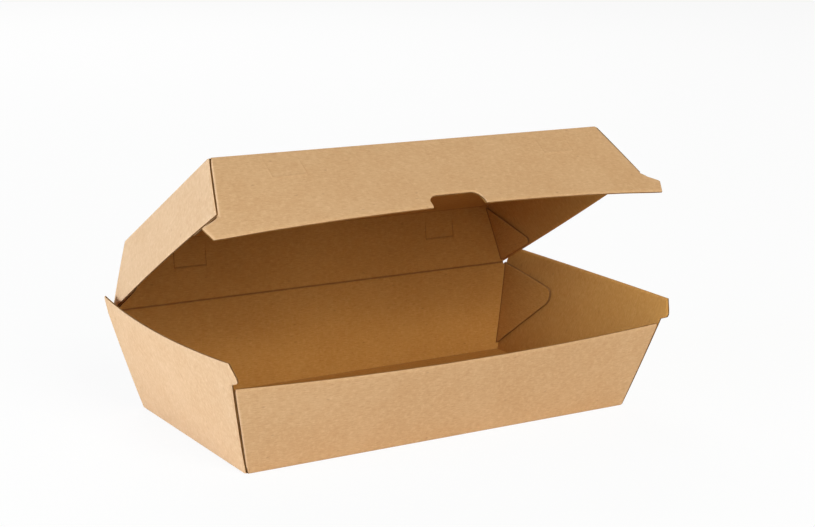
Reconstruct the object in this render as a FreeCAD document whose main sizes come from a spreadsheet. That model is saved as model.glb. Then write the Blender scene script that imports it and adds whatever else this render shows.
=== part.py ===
import FreeCAD, Part
import math
import os
from collections import namedtuple

import Sketcher

# Hinged takeaway box of fluted kraft board: a splayed tray and a splayed lid,
# folded from one die-cut sheet and parted here only at the hinge crease.
# Millimetres. +Z is up, +X runs along the box, -Y is the front.
# The origin is the middle of the underside of the tray's floor.

doc = FreeCAD.newDocument("takeaway_box")

# Driving dimensions. Splays are degrees from the vertical, the rest are millimetres.
SIZES = {
    # Board and folds
    "board": 1.5,
    "fold_radius": 1.2,
    "edge_inset": 0.4,
    "glue_lap": 0.5,
    # Tray
    "waist_length": 205,
    "waist_height": 40.6,
    "floor_depth": 94.6,
    "end_splay": 15.05,
    "long_splay": 13.7,
    "front_height": 37.5,
    "front_bow": 4.6,
    "front_dip": 1.6,
    "end_bow": 4.2,
    "rim_front_rise": 8.6,
    "rim_back_rise": 7.1,
    "rim_back_setback": 1.5,
    "rim_dip": 1.1,
    # Hooks at the front corners of the tray's end walls
    "hook_reach": 4.8,
    "hook_base_height": 40,
    "hook_tip_rise": 1.2,
    "hook_shoulder_rise": 3.6,
    "hook_shoulder_inset": 1.2,
    "hook_radius": 1.2,
    # Glue tabs inside the tray's end walls
    "tab_foot_height": 4,
    "back_tab_reach": 41.5,
    "back_tab_height": 34,
    "front_tab_reach": 33,
    "front_tab_height": 27,
    "tab_radius": 4.3,
    # Lid
    "lid_height": 26.4,
    "lid_end_splay": 16.5,
    "lid_front_splay": 20.9,
    "lid_back_splay": 22.3,
    "lid_end_bow": 1.5,
    "lid_front_bow": 5.9,
    "mouth_rise": 0.5,
    "lid_tab_reach": 27.6,
    "lid_tab_radius": 2,
    "lid_tab_top_drop": 2,
    # Lip and ears that close over the tray's front wall
    "lip_depth": 10.3,
    "lip_rise": 1.9,
    "ear_neck_half": 100,
    "ear_neck_depth": 2.3,
    "ear_tip_half": 108,
    "ear_tip_depth": 4.6,
    "ear_foot_half": 105.4,
    "ear_radius": 0.6,
    "notch_width": 25,
    "notch_depth": 6,
    "notch_radius": 4.6,
    # Steam vents: a three-sided cut near each end of the lid's front and back walls
    "vent_middle": 63.8,
    "vent_width": 15,
    "vent_foot": 14,
    "vent_head": 22,
    "vent_radius": 1.5,
    "vent_gap": 0.3,
    # Fits between tray and lid
    "end_gap": 0.3,
    "lip_gap": 0.5,
    "hinge_gap": 0.3,
    "relief_radius": 1.1,
    "lid_opening": 31.4,
}

sheet = doc.addObject("Spreadsheet::Sheet", "Sizes")
for row, (alias, number) in enumerate(SIZES.items(), start=1):
    sheet.set(f"A{row}", alias)
    sheet.set(f"B{row}", str(number))
    sheet.setAlias(f"B{row}", alias)
doc.recompute()

# Places that follow from the driving dimensions
layout = doc.addObject("App::VarSet", "Layout")


def derive(name, expression, meaning):
    """Adds a derived length, slope or place that every panel can read."""
    layout.addProperty("App::PropertyFloat", name, "Layout", meaning)
    layout.setExpression(name, expression)
    doc.recompute()


def number(expression):
    """Gives the present value of an expression."""
    return float(layout.evalExpression(expression))


derive("end_slope", "tan(Sizes.end_splay)", "Outward run of a tray end wall for each millimetre of height")
derive("long_slope", "tan(Sizes.long_splay)", "Outward run of the tray's long walls")
derive("end_run", "Sizes.board / cos(Sizes.end_splay)", "Level thickness of a tray end wall")
derive("long_run", "Sizes.board / cos(Sizes.long_splay)", "Level thickness of the tray's long walls")
derive(
    "floor_half",
    "Sizes.waist_length / 2 - Sizes.waist_height * Layout.end_slope",
    "Half length of the floor",
)
derive(
    "slab_top", "Sizes.waist_height + Sizes.rim_front_rise + Sizes.rim_back_rise", "A level above every rim"
)
derive("rim_front", "Sizes.waist_height + Sizes.rim_front_rise", "Level of an end wall's front corner")
derive("rim_back", "Sizes.waist_height + Sizes.rim_back_rise", "Level of an end wall's back corner")
derive(
    "hinge_y",
    "Sizes.floor_depth / 2 + Sizes.waist_height * Layout.long_slope",
    "Hinge line, from the middle",
)
derive("lid_end_slope", "tan(Sizes.lid_end_splay)", "Outward run of a lid end wall going down")
derive("lid_front_slope", "tan(Sizes.lid_front_splay)", "Outward run of the lid's front wall going down")
derive("lid_back_slope", "tan(Sizes.lid_back_splay)", "Outward run of the lid's back wall going down")
derive("lid_end_run", "Sizes.board / cos(Sizes.lid_end_splay)", "Level thickness of a lid end wall")
derive(
    "lid_front_run", "Sizes.board / cos(Sizes.lid_front_splay)", "Level thickness of the lid's front wall"
)
derive("lid_back_run", "Sizes.board / cos(Sizes.lid_back_splay)", "Level thickness of the lid's back wall")
derive(
    "mouth_half",
    "Sizes.waist_length / 2 - Layout.end_run - Sizes.end_gap",
    "Half length of the lid's mouth",
)
derive("rim_drop", "Sizes.front_height - Sizes.waist_height", "Tray's front rim, from the hinge level")
derive(
    "lip_y",
    "-(Layout.hinge_y + Sizes.floor_depth / 2 + Sizes.front_height * Layout.long_slope"
    " + Sizes.lip_gap + Layout.lid_front_run)",
    "Outer face of the closed lid's front wall beside the tray's front rim, from the hinge",
)
derive("wide", "Sizes.waist_length", "A reach past every panel's edge")
derive("prism_length", "Layout.wide * 2", "Length of a cutting prism, past every panel both ways")
derive("punch_length", "Sizes.board * 8", "Length of a punch, well past both faces of a leaning wall")


def tray_end(level):
    """Outer face of a tray end wall, as a distance from the middle, at a level."""
    return f"(Layout.floor_half + ({level}) * Layout.end_slope)"


def tray_long(level):
    """Outer face of the tray's front or back wall, as a distance from the middle, at a level."""
    return f"(Sizes.floor_depth / 2 + ({level}) * Layout.long_slope)"


def lid_end(level):
    """Outer face of a lid end wall, from the middle, at a level above the hinge."""
    return f"(Layout.mouth_half - ({level}) * Layout.lid_end_slope)"


def lid_front(level):
    """Outer face of the lid's front wall, from the hinge, at a level above the hinge."""
    return f"(Layout.lip_y + (({level}) - Layout.rim_drop) * Layout.lid_front_slope)"


def lid_back(level):
    """Outer face of the lid's back wall, from the hinge, at a level above the hinge."""
    return f"(-({level}) * Layout.lid_back_slope)"


# Levels and steps that need no size: the tray's underside, the lid's hinge line and a wall's own face
UNDERSIDE = "0"
HINGE = "0"
OUTER_FACE = "0"

# A corner of an outline: its two coordinates, the bulge of the edge that leaves it
# (positive to the right of travel) and the radius that rounds it.
Corner = namedtuple("Corner", "u v bulge radius", defaults=("", ""))

PLANES = {
    "level": FreeCAD.Rotation(),
    "front": FreeCAD.Rotation(FreeCAD.Vector(1, 0, 0), 90),
    "side": FreeCAD.Rotation(FreeCAD.Vector(1, 1, 1), 120),
}


def bulged_arc(start, end, bulge):
    """Arc from start to end whose middle lies off the chord by the bulge."""
    chord = end - start
    right = FreeCAD.Vector(chord.y, -chord.x, 0).normalize()
    return Part.Arc(start, (start + end) / 2 + right * bulge, end)


def add_edge(outline, start, end, bulge):
    """Adds a straight or bulged edge; returns its index and the ids of its two ends."""
    if abs(bulge) < 1e-9:
        return outline.addGeometry(Part.LineSegment(start, end), False), 1, 2
    index = outline.addGeometry(bulged_arc(start, end, bulge), False)
    return (index, 1, 2) if bulge > 0 else (index, 2, 1)


def bind(outline, constraint, name, expression):
    """Adds a constraint with a datum and ties it to an expression."""
    index = outline.addConstraint(constraint)
    outline.renameConstraint(index, name)
    outline.setExpression("Constraints." + name, expression)


def pin(outline, index, point, name, corner):
    """Places a point of the outline by its two distances from the origin."""
    for axis, place, end in (("DistanceX", corner.u, "_u"), ("DistanceY", corner.v, "_v")):
        distance = Sketcher.Constraint(axis, -1, 1, index, point, number(place))
        bind(outline, distance, name + end, place)


def tangent_length(before, at, after, radius):
    """Distance from a corner to where a rounding of the given radius leaves its edges."""
    angle = (before - at).getAngle(after - at)
    return radius / math.tan(angle / 2)


def draw(name, plane, corners, level=""):
    """Makes a closed, fully bound sketch of straight, bulged and rounded edges."""
    outline = doc.addObject("Sketcher::SketchObject", name)
    outline.Placement = FreeCAD.Placement(FreeCAD.Vector(), PLANES[plane])
    if level:
        outline.setExpression(".Placement.Base.z", level)
    places = [FreeCAD.Vector(number(c.u), number(c.v), 0) for c in corners]
    count = len(corners)
    starts, ends = list(places), list(places)
    for i, corner in enumerate(corners):
        if corner.radius:
            before, after = places[i - 1], places[(i + 1) % count]
            length = tangent_length(before, places[i], after, number(corner.radius))
            ends[i] = places[i] + (before - places[i]).normalize() * length
            starts[i] = places[i] + (after - places[i]).normalize() * length
    edges = []
    for i, corner in enumerate(corners):
        bulge = number(corner.bulge) if corner.bulge else 0
        edges.append(add_edge(outline, starts[i], ends[(i + 1) % count], bulge))
    for i, corner in enumerate(corners):
        index, first, last = edges[i]
        previous, _, previous_last = edges[i - 1]
        tag = f"c{i}"
        if corner.bulge:
            following = corners[(i + 1) % count]
            chord = f"((({following.u}) - ({corner.u}))^2 + (({following.v}) - ({corner.v}))^2)"
            radius = f"({chord} / 4 + ({corner.bulge})^2) / (2 * abs({corner.bulge}))"
            bind(outline, Sketcher.Constraint("Radius", index, number(radius)), tag + "_bow", radius)
        if not corner.radius:
            outline.addConstraint(Sketcher.Constraint("Coincident", previous, previous_last, index, first))
            pin(outline, index, first, tag, corner)
            continue
        point = outline.addGeometry(Part.Point(places[i]), True)
        pin(outline, point, 1, tag, corner)
        outline.addConstraint(Sketcher.Constraint("PointOnObject", point, 1, previous))
        outline.addConstraint(Sketcher.Constraint("PointOnObject", point, 1, index))
        size = number(corner.radius)
        into, out = (places[i] - ends[i]).normalize(), (starts[i] - places[i]).normalize()
        turn = 1 if into.cross(out).z > 0 else -1
        towards = FreeCAD.Vector(-into.y, into.x, 0) * turn
        centre = ends[i] + towards * size
        middle = centre + (places[i] - centre).normalize() * size
        rounding = outline.addGeometry(Part.Arc(ends[i], middle, starts[i]), False)
        near, far = (1, 2) if turn > 0 else (2, 1)
        outline.addConstraint(Sketcher.Constraint("Tangent", previous, previous_last, rounding, near))
        outline.addConstraint(Sketcher.Constraint("Tangent", rounding, far, index, first))
        bind(outline, Sketcher.Constraint("Radius", rounding, size), tag + "_radius", corner.radius)
    return outline


def loft(name, low, high):
    """Straight-ruled solid between two sketches."""
    solid = doc.addObject("Part::Loft", name)
    solid.Sections = [low, high]
    solid.Solid = True
    solid.Ruled = True
    return solid


def prism(name, outline):
    """Long solid of an outline, to trim a panel to its die-cut shape."""
    solid = doc.addObject("Part::Extrusion", name)
    solid.Base = outline
    solid.DirMode = "Normal"
    solid.Solid = True
    solid.Symmetric = True
    solid.setExpression("LengthFwd", "Layout.prism_length")
    return solid


def common(name, body, tool):
    """The part of a panel's slab that lies inside its outline."""
    trimmed = doc.addObject("Part::Common", name)
    trimmed.Base = body
    trimmed.Tool = tool
    return trimmed


def cut(name, body, tool):
    """A panel less a cutter."""
    trimmed = doc.addObject("Part::Cut", name)
    trimmed.Base = body
    trimmed.Tool = tool
    return trimmed


def mirror(name, source):
    """The same piece on the other end of the box."""
    twin = doc.addObject("Part::Mirroring", name)
    twin.Source = source
    twin.Base = FreeCAD.Vector()
    twin.Normal = FreeCAD.Vector(1, 0, 0)
    return twin


def rounded(name, panel, crease):
    """A panel with its crease rounded, the edge nearest to a place given by expressions."""
    doc.recompute()
    probe = Part.Vertex(*(number(distance) for distance in crease))
    gaps = [probe.distToShape(edge)[0] for edge in panel.Shape.Edges]
    radius = number("Sizes.fold_radius")
    panel_rounded = doc.addObject("Part::Fillet", name)
    panel_rounded.Base = panel
    panel_rounded.Edges = [(gaps.index(min(gaps)) + 1, radius, radius)]
    return panel_rounded


def fuse(name, pieces):
    """One solid of all the panels that a sheet folds into."""
    joined = doc.addObject("Part::MultiFuse", name)
    joined.Shapes = pieces
    joined.Refine = True
    return joined


def long_strip(name, level, half, outer, run, bow="", frame="level"):
    """Level section of a front or back wall, bowed along its length.

    outer is the place of its outer face; run, signed, leads to its inner face.
    """
    side = f"({outer}) + ({run})"
    facing = number(run) > 0
    bulge = bow and (bow if facing else f"-({bow})")
    back = bow and (f"-({bow})" if facing else bow)
    corners = [
        Corner(f"-({half})", outer, bulge),
        Corner(half, outer),
        Corner(half, side, back),
        Corner(f"-({half})", side),
    ]
    return draw(name, frame, corners, level)


def end_strip(name, level, front, back, outer, inner, bow=""):
    """Level section of an end wall or of a tab on it, bowed along its depth."""
    corners = [
        Corner(outer, front, bow),
        Corner(outer, back),
        Corner(inner, back, bow and f"-({bow})"),
        Corner(inner, front),
    ]
    return draw(name, "level", corners, level)


def rectangle(name, level, half_long, front, back):
    """Level rectangle about the middle of the box's length."""
    corners = [
        Corner(f"-({half_long})", front),
        Corner(half_long, front),
        Corner(half_long, back),
        Corner(f"-({half_long})", back),
    ]
    return draw(name, "level", corners, level)


# Tray floor, lapping into the foot of each wall
def floor_section(name, level):
    """Level section of the floor plate, which widens with the walls."""
    half = f"{tray_end(level)} - Layout.end_run + Sizes.glue_lap"
    deep = f"({tray_long(level)} - Layout.long_run + Sizes.glue_lap)"
    return rectangle(name, level, half, "-" + deep, deep)


tray_floor = loft(
    "TrayFloor", floor_section("FloorLow", UNDERSIDE), floor_section("FloorHigh", "Sizes.board")
)

# Tray front wall: bowed outward along its free rim, with the rim dipping as the board leans out
wall_half = f"{tray_end('Layout.slab_top')} - Layout.end_run + Sizes.glue_lap"
foot_half = f"{tray_end(UNDERSIDE)} - Layout.end_run + Sizes.glue_lap"
slab_bow = "(Sizes.front_bow * Layout.slab_top / Sizes.front_height)"
front_low = long_strip("FrontLow", UNDERSIDE, foot_half, "-" + tray_long(UNDERSIDE), "Layout.long_run")
front_high = long_strip(
    "FrontHigh",
    "Layout.slab_top",
    wall_half,
    "-" + tray_long("Layout.slab_top"),
    "Layout.long_run",
    slab_bow,
)
front_slab = loft("FrontSlab", front_low, front_high)
front_outline = draw(
    "FrontOutline",
    "front",
    [
        Corner("-Layout.wide", "-Sizes.board"),
        Corner("Layout.wide", "-Sizes.board"),
        Corner("Layout.wide", "Sizes.front_height"),
        Corner(tray_end("Sizes.front_height"), "Sizes.front_height", "-Sizes.front_dip"),
        Corner("-" + tray_end("Sizes.front_height"), "Sizes.front_height"),
        Corner("-Layout.wide", "Sizes.front_height"),
    ],
)
tray_front = common("TrayFront", front_slab, prism("FrontPrism", front_outline))
tray_front_folded = rounded("TrayFrontFolded", tray_front, ("0", "-" + tray_long(UNDERSIDE), UNDERSIDE))

# Tray back wall, straight up to the hinge crease
back_level = "(Sizes.waist_height - Sizes.hinge_gap / 2)"
back_half = f"{tray_end(back_level)} - Layout.end_run + Sizes.glue_lap"
back_low = long_strip("BackLow", UNDERSIDE, foot_half, tray_long(UNDERSIDE), "-Layout.long_run")
back_high = long_strip("BackHigh", back_level, back_half, tray_long(back_level), "-Layout.long_run")
tray_back = loft("TrayBack", back_low, back_high)
tray_back_folded = rounded("TrayBackFolded", tray_back, ("0", tray_long(UNDERSIDE), UNDERSIDE))

# Tray end wall with its hook, made on the right and mirrored
corner_y = tray_long("Layout.rim_front")
reach_y = f"({corner_y} + Sizes.hook_reach * 2)"
top_bow = "(Sizes.end_bow * Layout.slab_top / Layout.rim_front)"
reach_bow = f"({top_bow} * ({reach_y} / {corner_y})^2)"
bow_start = f"({top_bow} - {reach_bow})"


def end_slab(name, outer_step, inner_step):
    """Bowed slab parallel to the tray's end wall, between two steps in from its outer face.

    Its bow is end_bow at an end wall's front corner and none at the floor. The slab
    reaches past the hook, so its own chord lies further in.
    """
    low = end_strip(
        name + "Low",
        UNDERSIDE,
        "-" + reach_y,
        reach_y,
        f"{tray_end(UNDERSIDE)} - {outer_step}",
        f"{tray_end(UNDERSIDE)} - {inner_step}",
    )
    high = end_strip(
        name + "High",
        "Layout.slab_top",
        "-" + reach_y,
        reach_y,
        f"{tray_end('Layout.slab_top')} + {bow_start} - {outer_step}",
        f"{tray_end('Layout.slab_top')} + {bow_start} - {inner_step}",
        reach_bow,
    )
    return loft(name, low, high)


hook_root = f"-{tray_long('Sizes.hook_base_height')}"
hook_tip = f"({hook_root} - Sizes.hook_reach)"
tip_level = "(Sizes.hook_base_height + Sizes.hook_tip_rise)"
end_outline = draw(
    "EndOutline",
    "side",
    [
        Corner(f"-{tray_long('-Sizes.board')} + Sizes.edge_inset", "-Sizes.board"),
        Corner(f"{tray_long('-Sizes.board')} - Sizes.edge_inset", "-Sizes.board"),
        Corner(f"{tray_long('Sizes.waist_height')} - Sizes.edge_inset", "Sizes.waist_height"),
        Corner("Layout.hinge_y - Sizes.rim_back_setback", "Layout.rim_back", "-Sizes.rim_dip"),
        Corner(f"-{corner_y}", "Layout.rim_front"),
        Corner(f"{hook_tip} + Sizes.hook_shoulder_inset", f"{tip_level} + Sizes.hook_shoulder_rise"),
        Corner(hook_tip, tip_level, "", "Sizes.hook_radius"),
        Corner(f"{hook_root} + Sizes.edge_inset", "Sizes.hook_base_height"),
    ],
)
end_slab_right = end_slab("EndSlab", OUTER_FACE, "Layout.end_run")
tray_end_right = common("TrayEndRight", end_slab_right, prism("EndPrism", end_outline))
tray_end_folded = rounded("TrayEndFolded", tray_end_right, (tray_end(UNDERSIDE), "0", UNDERSIDE))

# Glue tabs, folded in from the front and back walls and stuck inside the end walls
tab_slab = end_slab("TabSlab", "(Layout.end_run - Sizes.glue_lap)", "Layout.end_run * 2")


def tray_tab(name, side, reach, height, top):
    """Three-cornered tab with a rounded tip; side is -1 at the front and 1 at the back."""
    inside = "Layout.long_run - Sizes.glue_lap"
    root = f"({side}) * ({tray_long('Sizes.tab_foot_height')} - ({inside}))"
    head = f"({side}) * ({tray_long(top)} - ({inside}))"
    tip = f"({side}) * ({tray_long(height)} - ({reach}))"
    corners = [
        Corner(root, "Sizes.tab_foot_height"),
        Corner(head, top),
        Corner(tip, height, "", "Sizes.tab_radius"),
    ]
    outline = draw(name + "Outline", "side", corners)
    return common(name, tab_slab, prism(name + "Prism", outline))


tray_back_tab = tray_tab("TrayBackTab", "1", "Sizes.back_tab_reach", "Sizes.back_tab_height", back_level)
front_tab_top = "(Sizes.front_height - Sizes.glue_lap)"
tray_front_tab = tray_tab(
    "TrayFrontTab", "-1", "Sizes.front_tab_reach", "Sizes.front_tab_height", front_tab_top
)
end_set = fuse("TrayEndSet", [tray_end_folded, tray_back_tab, tray_front_tab])
tray_ends = fuse("TrayEnds", [tray_floor, end_set, mirror("TrayEndSetLeft", end_set)])
tray_whole = fuse("TrayWhole", [tray_ends, tray_front_folded, tray_back_folded])

# Lid, drawn closed about its hinge line, which is its own local X axis
lid_top_level = "Sizes.lid_height"
lid_under_level = "(Sizes.lid_height - Sizes.board)"


def lid_top_section(name, level):
    """Level section of the lid's top plate, lapping into the head of each wall."""
    half = f"{lid_end(level)} - Layout.lid_end_run + Sizes.glue_lap"
    front = f"{lid_front(level)} + Layout.lid_front_run - Sizes.glue_lap"
    back = f"{lid_back(level)} - Layout.lid_back_run + Sizes.glue_lap"
    return rectangle(name, level, half, front, back)


lid_top = loft(
    "LidTop",
    lid_top_section("LidTopLow", lid_under_level),
    lid_top_section("LidTopHigh", lid_top_level),
)

# Lid front wall with its lip, ears and finger notch
lip_level = "(-Sizes.lip_depth)"
lip_half = "(Sizes.ear_tip_half + Sizes.board)"
lip_ratio = f"({lip_half} / (Sizes.waist_length / 2))"
lip_low = long_strip(
    "LipLow",
    lip_level,
    lip_half,
    f"({lid_front(lip_level)} + Sizes.lid_front_bow * ({lip_ratio}^2 - 1))",
    "Layout.lid_front_run",
    f"(Sizes.lid_front_bow * {lip_ratio}^2)",
)
lip_high = long_strip("LipHigh", lid_top_level, lip_half, lid_front(lid_top_level), "Layout.lid_front_run")
lid_front_slab = loft("LidFrontSlab", lip_low, lip_high)


def lip_at(across):
    """Level of the lip's edge, which rises to the middle as the board leans out."""
    return f"(-Sizes.lip_depth + Sizes.lip_rise * (1 - (({across}) / Sizes.ear_foot_half)^2))"


notch_half = "(Sizes.notch_width / 2)"
notch_top = f"({lip_at(notch_half)} + Sizes.notch_depth)"
lip_bulge = f"(-Sizes.lip_rise * ((Sizes.ear_foot_half - {notch_half}) / 2 / Sizes.ear_foot_half)^2)"
seam_half_top = f"({lid_end(lid_top_level)} - Layout.lid_end_run + Sizes.glue_lap)"
seam_half_mouth = f"({lid_end('Sizes.mouth_rise')} - Layout.lid_end_run + Sizes.glue_lap)"


def lip_side(sign):
    """Corners of one side of the lid's front wall, from the crease down to the notch."""
    return [
        Corner(f"{sign} * {seam_half_top}", lid_top_level),
        Corner(f"{sign} * {seam_half_mouth}", "Sizes.mouth_rise"),
        Corner(f"{sign} * Sizes.ear_neck_half", "-Sizes.ear_neck_depth"),
        Corner(f"{sign} * Sizes.ear_tip_half", "-Sizes.ear_tip_depth", "", "Sizes.ear_radius"),
        Corner(f"{sign} * Sizes.ear_foot_half", lip_level, lip_bulge if sign == "-1" else ""),
        Corner(f"{sign} * {notch_half}", lip_at(notch_half), lip_bulge if sign == "1" else ""),
        Corner(f"{sign} * {notch_half}", notch_top, "", "Sizes.notch_radius"),
    ]


left_side = lip_side("-1")
right_side = lip_side("1")
right_side.reverse()
lid_front_outline = draw("LidFrontOutline", "front", left_side + right_side)
lid_front_panel = common("LidFrontPanel", lid_front_slab, prism("LidFrontPrism", lid_front_outline))
lid_front_folded = rounded(
    "LidFrontFolded", lid_front_panel, ("0", lid_front(lid_top_level), lid_top_level)
)

# Lid back wall, straight up from the hinge crease
crease_level = "(Sizes.hinge_gap / 2)"
crease_half = f"{lid_end(crease_level)} - Layout.lid_end_run + Sizes.glue_lap"
lid_back_low = long_strip(
    "LidBackLow", crease_level, crease_half, lid_back(crease_level), "-Layout.lid_back_run"
)
lid_back_high = long_strip(
    "LidBackHigh", lid_top_level, seam_half_top, lid_back(lid_top_level), "-Layout.lid_back_run"
)
lid_back_panel = loft("LidBackPanel", lid_back_low, lid_back_high)
lid_back_folded = rounded("LidBackFolded", lid_back_panel, ("0", lid_back(lid_top_level), lid_top_level))

# Lid end wall and its tabs, made on the right and mirrored
mouth_level = "Sizes.mouth_rise"
mouth_front = lid_front(mouth_level)


def lid_end_slab(name, outer_step, inner_step):
    """Slab along the lid's end wall, bowed at the mouth, between two steps in from its outer face."""
    low = end_strip(
        name + "Low",
        mouth_level,
        mouth_front,
        HINGE,
        f"{lid_end(mouth_level)} - {outer_step}",
        f"{lid_end(mouth_level)} - {inner_step}",
        "Sizes.lid_end_bow",
    )
    high = end_strip(
        name + "High",
        lid_top_level,
        mouth_front,
        HINGE,
        f"{lid_end(lid_top_level)} - {outer_step}",
        f"{lid_end(lid_top_level)} - {inner_step}",
    )
    return loft(name, low, high)


low_level = f"({mouth_level} - Sizes.board)"
high_level = "(Sizes.lid_height + Sizes.board)"
lid_end_outline = draw(
    "LidEndOutline",
    "side",
    [
        Corner(f"{lid_front(low_level)} + Sizes.edge_inset", low_level),
        Corner(f"{lid_back(low_level)} - Sizes.edge_inset", low_level),
        Corner(f"{lid_back(high_level)} - Sizes.edge_inset", high_level),
        Corner(f"{lid_front(high_level)} + Sizes.edge_inset", high_level),
    ],
)
lid_end_slab_right = lid_end_slab("LidEndSlab", OUTER_FACE, "Layout.lid_end_run")
lid_end_right = common("LidEndRight", lid_end_slab_right, prism("LidEndPrism", lid_end_outline))
lid_end_folded = rounded(
    "LidEndFolded", lid_end_right, (lid_end(lid_top_level), f"{mouth_front} / 2", lid_top_level)
)
lid_tab_slab = lid_end_slab("LidTabSlab", "(Layout.lid_end_run - Sizes.glue_lap)", "Layout.lid_end_run * 2")
tab_head = "(Sizes.lid_height - Sizes.lid_tab_top_drop)"


def lid_tab(name, wall, run, side):
    """Three-cornered tab folded in from the lid's front or back wall."""
    root = f"{wall(mouth_level)} + ({side}) * ({run} - Sizes.glue_lap)"
    head = f"{wall(tab_head)} + ({side}) * ({run} - Sizes.glue_lap)"
    tip = f"{wall(mouth_level)} + ({side}) * Sizes.lid_tab_reach"
    corners = [
        Corner(root, mouth_level),
        Corner(head, tab_head),
        Corner(tip, mouth_level, "", "Sizes.lid_tab_radius"),
    ]
    outline = draw(name + "Outline", "side", corners)
    return common(name, lid_tab_slab, prism(name + "Prism", outline))


lid_back_tab = lid_tab("LidBackTab", lid_back, "Layout.lid_back_run", "-1")
lid_front_tab = lid_tab("LidFrontTab", lid_front, "Layout.lid_front_run", "1")
lid_end_set = fuse("LidEndSet", [lid_end_folded, lid_back_tab, lid_front_tab])
lid_ends = fuse("LidEnds", [lid_top, lid_end_set, mirror("LidEndSetLeft", lid_end_set)])
lid_whole = fuse("LidWhole", [lid_ends, lid_front_folded, lid_back_folded])


# Relief holes at the two ends of the hinge crease, punched through both back walls
def reliefs(name, line_y, line_z):
    """Pair of round punches along Y at the two ends of the hinge line, which lies at line_y and line_z."""
    punches = []
    for end, sign in (("Left", "-1"), ("Right", "1")):
        punch = doc.addObject("Part::Cylinder", name + end)
        punch.setExpression("Radius", "Sizes.relief_radius")
        punch.setExpression("Height", "Layout.punch_length")
        punch.Placement.Rotation = FreeCAD.Rotation(FreeCAD.Vector(1, 0, 0), 90)
        punch.setExpression(".Placement.Base.x", f"{sign} * (Layout.mouth_half - Layout.lid_end_run)")
        punch.setExpression(".Placement.Base.y", f"{line_y} + Layout.punch_length / 2")
        punch.setExpression(".Placement.Base.z", line_z)
        punches.append(punch)
    return fuse(name, punches)


def vent(name, sign):
    """Prism of one vent's cut, open towards the lid's top, through the front and the back wall."""
    left, right = "(Sizes.vent_middle - Sizes.vent_width / 2)", "(Sizes.vent_middle + Sizes.vent_width / 2)"
    inner_left, inner_right = f"({left} + Sizes.vent_gap)", f"({right} - Sizes.vent_gap)"
    inner_foot = "(Sizes.vent_foot + Sizes.vent_gap)"
    inner_radius = "(Sizes.vent_radius - Sizes.vent_gap)"
    corners = [
        Corner(f"{sign} * {left}", "Sizes.vent_head"),
        Corner(f"{sign} * {left}", "Sizes.vent_foot", "", "Sizes.vent_radius"),
        Corner(f"{sign} * {right}", "Sizes.vent_foot", "", "Sizes.vent_radius"),
        Corner(f"{sign} * {right}", "Sizes.vent_head"),
        Corner(f"{sign} * {inner_right}", "Sizes.vent_head"),
        Corner(f"{sign} * {inner_right}", inner_foot, "", inner_radius),
        Corner(f"{sign} * {inner_left}", inner_foot, "", inner_radius),
        Corner(f"{sign} * {inner_left}", "Sizes.vent_head"),
    ]
    return prism(name, draw(name + "Outline", "front", corners))


base_tray = cut("BaseTray", tray_whole, reliefs("TrayReliefs", "Layout.hinge_y", "Sizes.waist_height"))
base_tray.Label = "base_tray"
lid_vented = cut("LidVented", lid_whole, fuse("Vents", [vent("VentRight", "1"), vent("VentLeft", "-1")]))
lid = cut("Lid", lid_vented, reliefs("LidReliefs", HINGE, HINGE))
lid.Label = "lid"

# The lid stands part open, turned about the hinge line
lid.Placement.Rotation = FreeCAD.Rotation(FreeCAD.Vector(-1, 0, 0), SIZES["lid_opening"])
lid.setExpression(".Placement.Base.y", "Layout.hinge_y")
lid.setExpression(".Placement.Base.z", "Sizes.waist_height")
lid.setExpression(".Placement.Rotation.Angle", "Sizes.lid_opening")

doc.recompute()

NODES = [base_tray, lid]
for item in doc.Objects:
    if {"Invalid", "Error"} & set(item.State):
        raise RuntimeError(f"{item.Name} did not build: {item.State}")
for node in NODES:
    if node.Shape.isNull() or not node.Shape.isValid():
        raise RuntimeError(f"{node.Label} has no valid shape")
    if len(node.Shape.Solids) != 1:
        raise RuntimeError(f"{node.Label} is {len(node.Shape.Solids)} solids")

os.makedirs("parts", exist_ok=True)
for node in NODES:
    node.Shape.exportStep(f"parts/{node.Label}.step")
    box = node.Shape.BoundBox
    print(f"{node.Label}: volume {node.Shape.Volume:.1f}, {len(node.Shape.Faces)} faces, {box}")
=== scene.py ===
"""Looks of a hinged takeaway box folded from one blank of light fluted kraft board.

The board is built as the real one is: two flat liners with a waved sheet between them,
cut clean through at every free edge so that the flutes show. Each wall is a surface
worked out from its own slope, bow and die-cut outline, in millimetres.
"""

import logging
import math
from dataclasses import dataclass, field
from enum import Enum
from typing import Callable

import bpy
import numpy as np
from mathutils import Matrix, Vector


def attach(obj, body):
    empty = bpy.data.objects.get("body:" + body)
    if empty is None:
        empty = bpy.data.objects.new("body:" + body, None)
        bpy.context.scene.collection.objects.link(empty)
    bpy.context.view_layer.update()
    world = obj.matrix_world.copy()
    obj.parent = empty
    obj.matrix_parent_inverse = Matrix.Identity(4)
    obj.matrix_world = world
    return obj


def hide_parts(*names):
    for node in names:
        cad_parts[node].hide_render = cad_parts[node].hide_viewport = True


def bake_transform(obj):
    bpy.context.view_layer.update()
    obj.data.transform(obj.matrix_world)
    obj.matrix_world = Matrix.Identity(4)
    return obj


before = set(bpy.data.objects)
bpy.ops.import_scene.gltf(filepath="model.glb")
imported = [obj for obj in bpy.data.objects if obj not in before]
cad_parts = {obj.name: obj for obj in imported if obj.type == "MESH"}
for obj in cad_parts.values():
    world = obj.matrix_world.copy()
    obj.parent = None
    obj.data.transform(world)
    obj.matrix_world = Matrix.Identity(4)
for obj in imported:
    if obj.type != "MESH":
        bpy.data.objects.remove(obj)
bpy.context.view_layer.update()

log = logging.getLogger("takeaway_box")

MM = 0.001
# Faces that meet at more than this angle shade as a crisp edge
SHARP_ANGLE = math.radians(38)
# Shares closer than this count as one place of a grid
SAME_PLACE = 1e-5

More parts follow.
